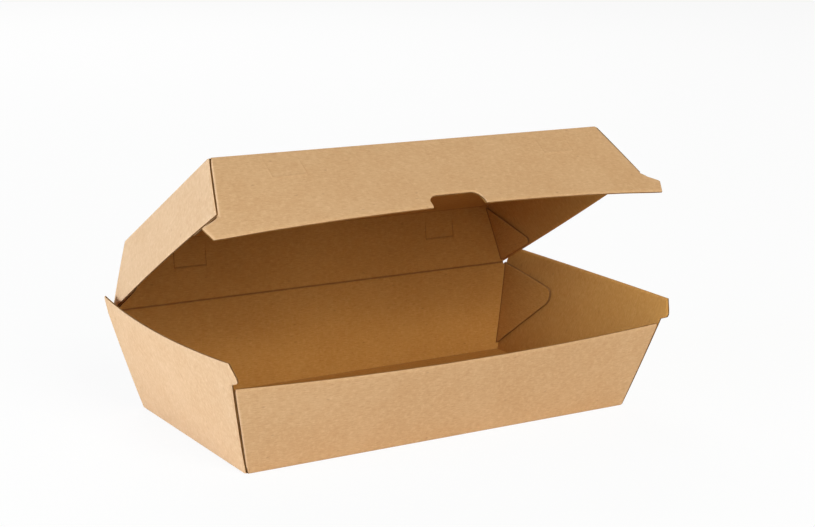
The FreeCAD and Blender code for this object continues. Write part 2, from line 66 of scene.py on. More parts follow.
Grid = np.ndarray
Place = tuple[float, float]
Stretch = tuple[float, float, int]
Outline = Callable[[Grid, Grid], tuple[Grid, Grid]]
Piece = bpy.types.Object
Finishes = list[bpy.types.Material]
Tree = bpy.types.NodeTree
Socket = bpy.types.NodeSocket


class Body(Enum):
    """Bodies that the pieces ride on."""

    TRAY = "base_tray"
    LID = "lid"


class Slot(Enum):
    """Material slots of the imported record."""

    TRAY = "tray_board"
    LID = "lid_board"


class Side(Enum):
    """Ends of the box along X."""

    LEFT = -1
    RIGHT = 1


class Face(Enum):
    """Faces of the board, by their material slot."""

    OUTER = 0
    CUT = 1
    INNER = 2


class Edge(Enum):
    """Sides of a patch of board."""

    LOW = "low"
    HIGH = "high"
    LEFT = "left"
    RIGHT = "right"

    @property
    def upright(self) -> bool:
        """Whether the side runs up the patch."""
        return self in (Edge.LEFT, Edge.RIGHT)


@dataclass(frozen=True)
class FlutedBoard:
    """Light fluted board: two liners glued to a waved medium. Millimetres and shares.

    A pinch share is how much of the board's thickness the cutting die takes at a free
    edge. A crease shade share is how dark the painted shade inside a pressed or cut line gets.
    """

    thickness: float = 1.5
    liner: float = 0.22
    medium: float = 0.17
    flute_pitch: float = 3.6
    fold_radius: float = 1.2
    inner_radius: float = 0.25
    seam_radius: float = 0.75
    edge_inset: float = 0.32
    lap: float = 0.45
    lap_start: float = 1.2
    crease_width: float = 0.42
    slit_width: float = 0.2
    slit_depth: float = 0.3
    burr: float = 0.09
    root_inset: float = 1.125
    # Painted shade beside a tab's root crease: how far off the root its band lies, and how wide it is
    root_crease_shade_shift: float = 0.375
    root_crease_shade_spread: float = 1.8
    pinch_width: float = 1.5
    pinch_share: float = 0.6
    tab_pinch_share: float = 0.2
    lid_tab_pinch_share: float = 0.45
    # How dark the painted shade gets along the hinge slit outside and round the steam flaps inside
    slit_crease_shade_share: float = 0.25
    flap_crease_shade_share: float = 0.8

    def line(self, distance: Grid) -> Grid:
        """Strength of a pressed crease line: a bell curve of the distance from it."""
        return np.exp(-((distance / self.crease_width) ** 2))

    def line_rows(self, count: int) -> Grid:
        """Distances from a crease that follow its bell curve."""
        return np.linspace(0, 3 * self.crease_width, count)

    def pinch_rows(self) -> Grid:
        """Distances from a cut edge that follow its pinch."""
        return np.linspace(0, self.pinch_width, 6)

    def seam_columns(self, half: float, count: int) -> list[Stretch]:
        """Packed columns over the rolls at both seams of a strip, from its half width."""
        edge = self.seam_radius / half
        return both_ends(edge / 4, edge / 3, count)

    def wave(self, across: Grid) -> Grid:
        """Gives the depth of the medium: a sine that touches both liners.

        Args:
            across: Distance across the flutes.

        Returns:
            Depth below the outer face.
        """
        swing = (self.thickness - 2 * self.liner - self.medium) / 2
        return self.thickness / 2 + swing * np.sin(2 * math.pi * across / self.flute_pitch)

    def seam_roll(self, inside: Grid, depth: Grid) -> tuple[Grid, Grid]:
        """Rolls the outer liner inwards round an upright seam.

        Over the last seam radius, the way to the seam becomes an angle that grows from
        nought to a right angle. The point is put at that angle on the circle that its
        depth leaves of the seam radius.

        Args:
            inside: Distance in from the seam.
            depth: Depth below the outer face.

        Returns:
            Shift towards the seam, and shift into the board.
        """
        angle = np.clip((self.seam_radius - inside) / self.seam_radius, 0, 1) * math.pi / 2
        radius = self.seam_radius - depth
        along = radius * np.sin(angle) - self.seam_radius * angle * 2 / math.pi
        return along, radius * (1 - np.cos(angle))


BOARD = FlutedBoard()


@dataclass(frozen=True)
class BoxPlan:
    """Sizes of the box's construction, in millimetres and degrees.

    They are the sizes of the solids, but for small trims that follow the die-cut outline
    more closely: the hooks, the rim's front corners, the ears' necks and the relief
    holes at the ends of the hinge.
    """

    waist_length: float = 205.0
    waist_height: float = 40.6
    floor_depth: float = 94.6
    end_splay: float = 15.05
    long_splay: float = 13.7
    front_height: float = 37.5
    front_bow: float = 4.6
    front_dip: float = 1.6
    end_bow: float = 4.2
    rim_front_rise: float = 8.6
    rim_back_rise: float = 7.1
    rim_back_setback: float = 1.5
    rim_dip: float = 1.1
    hook_reach: float = 4.8
    hook_base_height: float = 39.4
    hook_tip_rise: float = 2.0
    hook_shoulder_rise: float = 3.4
    hook_shoulder_inset: float = 1.6
    hook_radius: float = 1.7
    corner_setback: float = 1.3
    corner_drop: float = 0.8
    tab_foot_height: float = 4.0
    back_tab_reach: float = 41.5
    back_tab_height: float = 34.0
    front_tab_reach: float = 33.0
    front_tab_height: float = 27.0
    tab_radius: float = 4.3
    lid_height: float = 26.4
    lid_end_splay: float = 16.5
    lid_front_splay: float = 20.9
    lid_back_splay: float = 22.3
    lid_end_bow: float = 1.5
    lid_front_bow: float = 5.9
    mouth_rise: float = 0.5
    lid_tab_reach: float = 27.6
    lid_tab_radius: float = 2.0
    lid_tab_top_drop: float = 2.0
    lip_depth: float = 10.3
    lip_rise: float = 1.9
    ear_neck_half: float = 101.1
    ear_neck_depth: float = 1.6
    ear_tip_half: float = 108.0
    ear_tip_depth: float = 4.6
    ear_foot_half: float = 105.4
    notch_width: float = 25.0
    notch_depth: float = 6.0
    notch_radius: float = 4.6
    vent_middle: float = 63.8
    vent_width: float = 15.0
    vent_foot: float = 14.0
    vent_head: float = 22.0
    end_gap: float = 0.3
    lip_gap: float = 0.5
    hinge_gap: float = 0.3
    relief_radius: float = 0.8
    relief_shift: float = 0.8
    lid_relief_radius: float = 0.2
    lid_opening: float = 31.4

    @property
    def long_slope(self) -> float:
        """Outward run of the tray's long walls for each millimetre of height."""
        return math.tan(math.radians(self.long_splay))

    @property
    def end_slope(self) -> float:
        """Outward run of the tray's end walls."""
        return math.tan(math.radians(self.end_splay))

    @property
    def end_run(self) -> float:
        """Level thickness of a tray end wall."""
        return BOARD.thickness / math.cos(math.radians(self.end_splay))

    @property
    def floor_half(self) -> float:
        """Half length of the floor."""
        return self.waist_length / 2 - self.waist_height * self.end_slope

    @property
    def rim_front(self) -> float:
        """Level of an end wall's front corner."""
        return self.waist_height + self.rim_front_rise

    @property
    def rim_back(self) -> float:
        """Level of an end wall's back corner."""
        return self.waist_height + self.rim_back_rise

    @property
    def hinge_y(self) -> float:
        """Hinge line, from the middle of the floor."""
        return self.floor_depth / 2 + self.waist_height * self.long_slope

    @property
    def lid_end_slope(self) -> float:
        """Outward run of a lid end wall going down."""
        return math.tan(math.radians(self.lid_end_splay))

    @property
    def lid_end_run(self) -> float:
        """Level thickness of a lid end wall."""
        return BOARD.thickness / math.cos(math.radians(self.lid_end_splay))

    @property
    def mouth_half(self) -> float:
        """Half length of the lid's mouth."""
        return self.waist_length / 2 - self.end_run - self.end_gap

    @property
    def lid_front_slope(self) -> float:
        """Outward run of the lid's front wall going down."""
        return math.tan(math.radians(self.lid_front_splay))

    @property
    def lid_back_slope(self) -> float:
        """Outward run of the lid's back wall going down."""
        return math.tan(math.radians(self.lid_back_splay))

    def tray_long(self, level: Grid) -> Grid:
        """Outer face of the tray's long walls, from the middle, at a level."""
        return self.floor_depth / 2 + level * self.long_slope

    def tray_end(self, level: Grid) -> Grid:
        """Outer face of an unbowed tray end wall, from the middle, at a level."""
        return self.floor_half + level * self.end_slope

    def tray_end_bow(self, y: Grid, level: Grid) -> Grid:
        """Outward bow of a tray end wall: a parabola along it that grows with the level."""
        corner = self.tray_long(self.rim_front)
        return self.end_bow * np.clip(level, 0, None) / self.rim_front * (1 - (y / corner) ** 2)

    def tray_wall(self, y: Grid, level: Grid) -> Grid:
        """Outer face of a bowed tray end wall, from the middle."""
        return self.tray_end(level) + self.tray_end_bow(y, level)

    def lid_end(self, level: Grid) -> Grid:
        """Outer face of an unbowed lid end wall, at a level above the hinge."""
        return self.mouth_half - level * self.lid_end_slope

    def lid_front(self, level: Grid) -> Grid:
        """Gives the outer face of the unbowed lid front wall, which clears the tray's rim.

        Args:
            level: Level above the hinge.

        Returns:
            y from the hinge line.
        """
        rim_drop = self.front_height - self.waist_height
        run = BOARD.thickness / math.cos(math.radians(self.lid_front_splay))
        lip = self.hinge_y + self.tray_long(self.front_height) + self.lip_gap + run
        return -lip + (level - rim_drop) * self.lid_front_slope

    def lid_back(self, level: Grid) -> Grid:
        """Outer face of the lid's back wall, from the hinge."""
        return -level * self.lid_back_slope

    def lid_end_bow_at(self, y: Grid, level: Grid) -> Grid:
        """Gives the outward bow of a lid end wall: a parabola, full at the mouth, none at the top.

        Args:
            y: Place along the wall, from the hinge line.
            level: Level above the hinge.

        Returns:
            The bow.
        """
        half = -self.lid_front(self.mouth_rise) / 2
        fade = (self.lid_height - level) / (self.lid_height - self.mouth_rise)
        return self.lid_end_bow * fade * (1 - ((y + half) / half) ** 2)

    def lid_wall(self, y: Grid, level: Grid) -> Grid:
        """Outer face of a bowed lid end wall, from the middle."""
        return self.lid_end(level) + self.lid_end_bow_at(y, level)

    def lid_front_bow_at(self, x: Grid, level: Grid) -> Grid:
        """Outward bow of the lid's front wall: a parabola, full at the lip, none at the top."""
        fade = (self.lid_height - level) / (self.lid_height + self.lip_depth)
        return self.lid_front_bow * np.clip(fade, 0, None) * (1 - (x / (self.waist_length / 2)) ** 2)


PLAN = BoxPlan()


def opened(points: Grid) -> Grid:
    """Turns points drawn on the closed lid to where the open lid holds them.

    A point at y and z from the hinge line turns about it by the lid's opening.

    Args:
        points: Places from the hinge line, the last axis being x, y, z.

    Returns:
        Places in the box's own frame.
    """
    turn = math.radians(PLAN.lid_opening)
    x, y, z = np.moveaxis(points, -1, 0)
    back = y * math.cos(turn) + z * math.sin(turn)
    up = z * math.cos(turn) - y * math.sin(turn)
    return np.stack([x, back + PLAN.hinge_y, up + PLAN.waist_height], axis=-1)


class Profile:
    """A folded line of board seen end on, with its outer and its inner face.

    The outer face is a chain of straights joined by round folds; the inner face is the
    chain moved in by the board's thickness, with tighter folds. Both are read at the same
    distance along the outer face.
    """

    fold_steps: int = 7

    def __init__(self, corners: list[Place], inside: int = 1, hinge_end: int | None = None) -> None:
        """Works out both faces.

        Args:
            corners: Corners of the outer face in the plane of the section.
            inside: 1 where the inside lies to the left of travel, or -1.
            hinge_end: 0 or -1 where that end lies on the hinge crease and is cut level.
        """
        path = np.array(corners, float)
        run = np.diff(path, axis=0)
        run /= np.linalg.norm(run, axis=1)[:, None]
        inward = inside * np.stack([-run[:, 1], run[:, 0]], axis=1)
        shifted = [path[0] + inward[0] * BOARD.thickness]
        for i in range(1, len(path) - 1):
            half = inward[i - 1] + inward[i]
            shifted.append(path[i] + half * BOARD.thickness / (1 + inward[i - 1] @ inward[i]))
        shifted.append(path[-1] + inward[-1] * BOARD.thickness)
        if hinge_end is not None:
            drop = path[hinge_end][1] - shifted[hinge_end][1]
            shifted[hinge_end] = shifted[hinge_end] + run[hinge_end] * drop / run[hinge_end][1]
        self.outer = self._rounded(path, run, BOARD.fold_radius)
        self.inner = self._rounded(np.array(shifted), run, BOARD.inner_radius)
        gaps = np.linalg.norm(np.diff(self.outer, axis=0), axis=1)
        self.stations = np.concatenate([[0], np.cumsum(gaps)])
        self.length = float(self.stations[-1])
        self.folds = [
            (self.stations[1 + i * self.fold_steps], self.stations[(i + 1) * self.fold_steps])
            for i in range(len(path) - 2)
        ]

    def _rounded(self, path: Grid, run: Grid, radius: float) -> Grid:
        """Rounds each inner corner along a parabola, by a fixed count of points.

        Args:
            path: Corners of one face.
            run: Direction of each straight.
            radius: Radius that sets how far the rounding reaches.

        Returns:
            The points of the face.
        """
        places = [path[:1]]
        for i in range(1, len(path) - 1):
            turn = math.acos(float(np.clip(run[i - 1] @ run[i], -1, 1)))
            setback = radius * math.tan(turn / 2)
            t = np.linspace(0, 1, self.fold_steps)[:, None]
            start, end = path[i] - run[i - 1] * setback, path[i] + run[i] * setback
            places.append((1 - t) ** 2 * start + 2 * t * (1 - t) * path[i] + t**2 * end)
        places.append(path[-1:])
        return np.concatenate(places)

    def at(self, distance: Grid, depth: Grid) -> tuple[Grid, Grid]:
        """Gives the place at a distance along the profile and a depth into the board.

        Args:
            distance: Distance along the outer face.
            depth: Depth below the outer face.

        Returns:
            The two coordinates of the section's plane.
        """
        share = depth / BOARD.thickness
        first = [np.interp(distance, self.stations, face[:, 0]) for face in (self.outer, self.inner)]
        second = [np.interp(distance, self.stations, face[:, 1]) for face in (self.outer, self.inner)]
        return (
            first[0] + (first[1] - first[0]) * share,
            second[0] + (second[1] - second[0]) * share,
        )

    def level(self, distance: Grid) -> Grid:
        """Second coordinate of the outer face at a distance along it."""
        return self.at(distance, 0 * distance)[1]

    def fold_lines(self, distance: Grid) -> Grid:
        """Strength of the painted shade in the folds at a distance: a bell curve over each fold's middle.
        """
        return sum(BOARD.line(distance - (start + end) / 2) for start, end in self.folds)

    def rows(self, step: float) -> Grid:
        """Gives distances that fill the straights evenly and keep every point of the folds.

        Args:
            step: Rough step on the straights.

        Returns:
            Sorted distances.
        """
        marks = [0.0]
        for start, end in self.folds:
            count = max(2, int((start - marks[-1]) / step))
            marks.extend(np.linspace(marks[-1], start, count)[1:-1])
            marks.extend(self.stations[(self.stations >= start - 1e-9) & (self.stations <= end + 1e-9)])
        count = max(2, int((self.length - marks[-1]) / step))
        marks.extend(np.linspace(marks[-1], self.length, count)[1:])
        return np.unique(np.round(marks, 6))


def spread(count: int, *dense: Stretch) -> Grid:
    """Gives even steps from 0 to 1 with extra ones packed around given places.

    Args:
        count: Even steps.
        *dense: Middle, half width and count of each packed stretch.

    Returns:
        Sorted shares from 0 to 1.
    """
    marks = [np.linspace(0, 1, count)]
    marks += [np.linspace(middle - half, middle + half, extra) for middle, half, extra in dense]
    merged = np.unique(np.clip(np.concatenate(marks), 0, 1))
    keep = np.concatenate([[True], np.diff(merged) > SAME_PLACE])
    keep[-1] = True
    return merged[keep]


def both_ends(middle: float, half: float, count: int) -> list[Stretch]:
    """A packed stretch near one end of a patch, and its mirror image."""
    return [(middle, half, count), (1 - middle, half, count)]


class MeshStore:
    """Gathers closed shells and makes one mesh of them."""

    def __init__(self) -> None:
        """Starts empty."""
        self.points: list[Grid] = []
        self.faces: list[Grid] = []
        self.sheet: list[Grid] = []
        self.slots: list[Grid] = []
        self.crease_shades: list[Grid] = []
        self.count = 0

    def add_shell(
        self,
        outer: Grid,
        inner: Grid,
        sheet: Grid,
        finishes: tuple[Face, Face] = (Face.CUT, Face.CUT),
        crease_shade: Grid | float = 0.0,
    ) -> None:
        """Adds a closed shell between two grids of the same shape.

        The faces are the outer grid, the inner grid turned over and four strips that
        join their borders. A negative volume means that all of them face inwards, and
        then every face is turned over.

        Args:
            outer: Points of one face, rows by columns by three, in millimetres.
            inner: Points of the other face.
            sheet: Flat place of each point on the board, along and across the flutes.
            finishes: Finish of the outer and of the inner grid. The joining strips are cut board.
            crease_shade: How strongly painted shade darkens each place, from 0 to 1.
        """
        rows, cols = outer.shape[:2]
        index = np.arange(rows * cols).reshape(rows, cols)
        other = index + rows * cols
        quads = [
            grid_faces(index),
            grid_faces(other)[:, ::-1],
            grid_faces(np.stack([other[0], index[0]])),
            grid_faces(np.stack([index[-1], other[-1]])),
            grid_faces(np.stack([index[:, 0], other[:, 0]])),
            grid_faces(np.stack([other[:, -1], index[:, -1]])),
        ]
        faces = np.concatenate(quads)
        points = np.concatenate([outer.reshape(-1, 3), inner.reshape(-1, 3)])
        corners = points[faces]
        volume = np.einsum("ij,ij->", corners[:, 0], np.cross(corners[:, 1], corners[:, 2]))
        volume += np.einsum("ij,ij->", corners[:, 0], np.cross(corners[:, 2], corners[:, 3]))
        if volume < 0:
            faces = faces[:, ::-1]
        self.points.append(points)
        self.sheet.append(np.concatenate([sheet.reshape(-1, 2)] * 2))
        self.faces.append(faces + self.count)
        slots = np.full(len(faces), Face.CUT.value)
        grid = len(quads[0])
        slots[:grid], slots[grid : 2 * grid] = finishes[0].value, finishes[1].value
        self.slots.append(slots)
        self.crease_shades.append(np.tile(np.broadcast_to(crease_shade, (rows, cols)).ravel(), 2))
        self.count += len(points)

    def build(self, name: str, materials: Finishes) -> Piece:
        """Makes the mesh object, in metres, with the flat places as its UV map.

        Args:
            name: Name of the piece.
            materials: One material for each slot.

        Returns:
            The new object.
        """
        mesh = bpy.data.meshes.new(name)
        points = np.concatenate(self.points) * MM
        faces = np.concatenate(self.faces)
        mesh.vertices.add(len(points))
        mesh.vertices.foreach_set("co", points.astype(np.float32).ravel())
        mesh.loops.add(faces.size)
        mesh.loops.foreach_set("vertex_index", faces.astype(np.int32).ravel())
        mesh.polygons.add(len(faces))
        mesh.polygons.foreach_set("loop_start", np.arange(0, faces.size, 4, dtype=np.int32))
        mesh.polygons.foreach_set("material_index", np.concatenate(self.slots).astype(np.int32))
        mesh.update(calc_edges=True)
        flat = np.concatenate(self.sheet)[faces.ravel()] * MM
        mesh.uv_layers.new(name="sheet").data.foreach_set("uv", flat.astype(np.float32).ravel())
        # Strength of the painted shade, which the liner material reads
        crease_shaded = mesh.attributes.new("crease_shade", "FLOAT", "POINT")
        crease_shaded.data.foreach_set("value", np.concatenate(self.crease_shades).astype(np.float32))
        for material in materials:
            mesh.materials.append(material)
        mesh.shade_smooth()
        mesh.set_sharp_from_angle(angle=SHARP_ANGLE)
        piece = bpy.data.objects.new(name, mesh)
        bpy.context.scene.collection.objects.link(piece)
        return piece


def grid_faces(index: Grid) -> Grid:
    """Gives the four-cornered faces of a grid of point numbers."""
    corners = [index[:-1, :-1], index[:-1, 1:], index[1:, 1:], index[1:, :-1]]
    return np.stack(corners, axis=-1).reshape(-1, 4)


@dataclass
class Panel:
    """A patch of board: a flat outline, and the surface that it is bent to.

    Attributes:
        outline: Takes two shares from 0 to 1, across and up the patch, to a flat place.
        surface: Takes a flat place and a depth into the board to a place in space.
        flat: Takes a flat place to one along and across the flutes.
        columns: Shares across the patch.
        rows: Shares up the patch.
        free: Edges that the die has cut, and so pinched.
        free_above: Share up the patch from which its upright edges are free.
        free_blend: Share of the patch over which their pinch comes in.
        pinch_share: Share of the thickness that the pinch takes at the edge.
        crease_shade: Strength of the painted shade along folds and tab roots, on the inner face.
        slit: Strength of the crease that presses both liners in, at the hinge, and of the painted shade on
            it.
        flap: Strength of the cut round a steam flap, and of the painted shade in its groove.
    """

    outline: Outline
    surface: Callable[[Grid, Grid, Grid], Grid]
    flat: Callable[[Grid, Grid], Grid]
    columns: Grid
    rows: Grid
    free: tuple[Edge, ...] = ()
    free_above: float = 0.0
    free_blend: float = 0.01
    pinch_share: float = BOARD.pinch_share
    crease_shade: Callable[[Grid, Grid], Grid] = field(default=lambda p, q: 0 * p)
    slit: Callable[[Grid, Grid], Grid] = field(default=lambda p, q: 0 * p)
    flap: Callable[[Grid, Grid], Grid] = field(default=lambda p, q: 0 * p)

    def pinch(self, a: Grid, b: Grid) -> Grid:
        """Strength of the cutting die's pinch: full at a free edge and gone a little way in.

        It falls off with the square of the way to the edge, taken along the grid line.

        Args:
            a: Shares across the patch.
            b: Shares up the patch.

        Returns:
            Strength from 0 to 1.
        """
        p, q = self.outline(a, b)
        strength = 0 * p
        ends = {
            Edge.LOW: (a, 0 * b),
            Edge.HIGH: (a, 0 * b + 1),
            Edge.LEFT: (0 * a, b),
            Edge.RIGHT: (0 * a + 1, b),
        }
        for edge in self.free:
            p0, q0 = self.outline(*ends[edge])
            near = np.clip(1 - np.hypot(p - p0, q - q0) / BOARD.pinch_width, 0, 1)
            if edge.upright:
                near = near * np.clip((b - self.free_above) / self.free_blend + 1, 0, 1)
            strength = np.maximum(strength, near**2)
        return strength

    def place(self, a: Grid, b: Grid, depth: Grid) -> Grid:
        """Places a depth of the patch in space, drawn to mid-board where it is pinched.

        Args:
            a: Shares across the patch.
            b: Shares up the patch.
            depth: Depth below the outer face.

        Returns:
            Places in the box's frame.
        """
        p, q = self.outline(a, b)
        middle = BOARD.thickness / 2
        return self.surface(p, q, middle + (depth - middle) * (1 - self.pinch_share * self.pinch(a, b)))

    def liners(self, store: MeshStore) -> None:
        """Adds the two liners, each a thin shell over the whole patch.

        Where the board is creased flat, both liners are pressed in by the crease's share.
        Round a flap, the cut leaves a fine burr outside and a shallow groove inside.
        Both liners carry painted shade along the hinge slit, and the inner one also in the
        folds, by the tab roots and round the flaps.

        Args:
            store: Where the shells go.
        """
        a, b = np.meshgrid(self.columns, self.rows)
        p, q = self.outline(a, b)
        sheet = self.flat(p, q)
        slit, flap = self.slit(p, q), self.flap(p, q)
        sunk = slit * BOARD.slit_depth
        inside = BOARD.thickness - sunk - flap * BOARD.slit_depth
        store.add_shell(
            self.place(a, b, sunk - flap * BOARD.burr),
            self.place(a, b, sunk + BOARD.liner),
            sheet,
            (Face.OUTER, Face.CUT),
            # Painted shade on the outer face along the hinge slit
            slit * BOARD.slit_crease_shade_share,
        )
        store.add_shell(
            self.place(a, b, inside - BOARD.liner),
            self.place(a, b, inside),
            sheet,
            (Face.CUT, Face.INNER),
            # Painted shade on the inner face in the folds, by the tab roots, along the hinge slit and round
            # the flaps
            np.maximum(self.crease_shade(p, q), np.maximum(slit, flap * BOARD.flap_crease_shade_share)),
        )

    def cut_edge(self, store: MeshStore, edge: Edge, steps: int, reach: float) -> None:
        """Adds the waved medium where a free edge is cut through the flutes.

        Args:
            store: Where the shell goes.
            edge: The side of the patch.
            steps: Points along the edge.
            reach: Share of the patch that the medium reaches in from the edge.
        """
        along = np.linspace(0, 1, steps)
        inward = np.linspace(0, reach, 3)
        if edge in (Edge.HIGH, Edge.RIGHT):
            inward = 1 - inward
        if edge.upright:
            b, a = np.meshgrid(along, inward)
        else:
            a, b = np.meshgrid(along, inward)
        p, q = self.outline(a, b)
        sheet = self.flat(p, q)
        middle = BOARD.wave(sheet[..., 1])
        half = BOARD.medium / 2
        store.add_shell(self.place(a, b, middle - half), self.place(a, b, middle + half), sheet)

    def build(self, name: str, finishes: Finishes, *cuts: tuple[Edge, int, float]) -> Piece:
        """Makes a piece of the two liners, and of the medium at each cut edge.

        Args:
            name: Name of the piece.
            finishes: Outer liner, cut edge and inner liner.
            *cuts: Edge, points along it and inward reach of each stretch of medium.

        Returns:
            The piece.
        """
        store = MeshStore()
        self.liners(store)
        for edge, steps, reach in cuts:
            self.cut_edge(store, edge, steps, reach)
        return store.build(name, finishes)


def along_chain(corners: list[Place], radii: dict[int, float], share: Grid) -> tuple[Grid, Grid]:
    """Reads a chain of straights with some rounded corners at shares of its length.

    Args:
        corners: Corners of the chain.
        radii: Radius for each rounded corner, by its number.
        share: Shares of the whole length, from 0 to 1.

    Returns:
        The two coordinates at each share.
    """
    path = np.array(corners, float)
    places = [path[:1]]
    for i in range(1, len(path) - 1):
        if i not in radii:
            places.append(path[i : i + 1])
            continue
        into = (path[i] - path[i - 1]) / np.linalg.norm(path[i] - path[i - 1])
        out = (path[i + 1] - path[i]) / np.linalg.norm(path[i + 1] - path[i])
        turn = math.acos(float(np.clip(into @ out, -1, 1)))
        setback = radii[i] * math.tan(turn / 2)
        start, end = path[i] - into * setback, path[i] + out * setback
        normal = np.array([-into[1], into[0]]) * np.sign(into[0] * out[1] - into[1] * out[0])
        centre = start + normal * radii[i]
        angles = np.linspace(0, turn, 10)[:, None]
        places.append(centre - normal * radii[i] * np.cos(angles) + into * radii[i] * np.sin(angles))
    places.append(path[-1:])
    chain = np.concatenate(places)
    gaps = np.linalg.norm(np.diff(chain, axis=0), axis=1)
    marks = np.concatenate([[0], np.cumsum(gaps)]) / gaps.sum()
    return np.interp(share, marks, chain[:, 0]), np.interp(share, marks, chain[:, 1])


@dataclass(frozen=True)
class GlueTab:
    """A glue tab, which lies against the inner face of an end wall.

    Its flat places are y and z. Rows run from the root line to the free edge, which goes
    from the foot of the root round the tip to its head.

    Attributes:
        name: Name of the piece.
        side: Which end.
        root: Foot of the root line.
        head: Head of the root line.
        tip: The free corner.
        radius: Rounding of the free corner.
        wall: Outer face of the end wall, from the middle, at a place.
        run: Level thickness of the end wall.
        settle: Takes built places to where the part holds them.
        pinch_share: Share of the thickness that the die takes at the free edge.
    """

    name: str
    side: Side
    root: Place
    head: Place
    tip: Place
    radius: float
    wall: Callable[[Grid, Grid], Grid]
    run: float
    settle: Callable[[Grid], Grid]
    pinch_share: float
    columns: int = 16
    root_columns: Stretch = (0.03, 0.05, 14)
    edge_columns: Stretch = (0.97, 0.03, 10)
    rows: int = 40
    edge_steps: int = 310
    edge_margin: float = 0.01
    medium_reach: float = 0.15

    def outline(self, a: Grid, b: Grid) -> tuple[Grid, Grid]:
        """Reads a straight row between the root line and the rounded free edge.

        Args:
            a: Shares along the row.
            b: Shares up the root line.

        Returns:
            y and z.
        """
        y0, z0 = (foot + (top - foot) * b for foot, top in zip(self.root, self.head))
        share = self.edge_margin + (1 - 2 * self.edge_margin) * b
        y1, z1 = along_chain([self.root, self.tip, self.head], {1: self.radius}, share)
        return y0 + a * (y1 - y0), z0 + a * (z1 - z0)

    def surface(self, p: Grid, q: Grid, depth: Grid) -> Grid:
        """Lays the tab against the end wall, with the wall's lean and bow."""
        x = self.wall(p, q) - self.run - depth / BOARD.thickness * self.run
        return self.settle(np.stack([self.side.value * x, p, q], axis=-1))

    def crease_shade(self, p: Grid, q: Grid) -> Grid:
        """Gives the strength of the painted shade along the root's crease: a bell curve of the distance
        square to it.

        Args:
            p: y of the place.
            q: z of the place.

        Returns:
            Strength from 0 to 1.
        """
        way = np.subtract(self.head, self.root)
        way = way / np.linalg.norm(way)
        gap = np.abs((p - self.root[0]) * way[1] - (q - self.root[1]) * way[0])
        return BOARD.line((gap - BOARD.root_crease_shade_shift) / BOARD.root_crease_shade_spread)

    def build(self, finishes: Finishes) -> Piece:
        """Builds the tab, with its flutes along it.

        Args:
            finishes: Outer liner, cut edge and inner liner.

        Returns:
            The piece.
        """
        panel = Panel(
            self.outline,
            self.surface,
            along_first,
            columns=spread(self.columns, self.root_columns, self.edge_columns),
            rows=spread(self.rows),
            free=(Edge.RIGHT,),
            pinch_share=self.pinch_share,
            crease_shade=self.crease_shade,
        )
        return panel.build(self.name, finishes, (Edge.RIGHT, self.edge_steps, self.medium_reach))


def along_first(p: Grid, q: Grid) -> Grid:
    """Flat places of a patch whose flutes run along its first coordinate."""
    return np.stack([p, q], axis=-1)


def along_second(p: Grid, q: Grid) -> Grid:
    """Flat places of a patch whose flutes run along its second coordinate."""
    return np.stack([q, p], axis=-1)


def as_built(points: Grid) -> Grid:
    """Leaves the tray's places where they are drawn."""
    return points


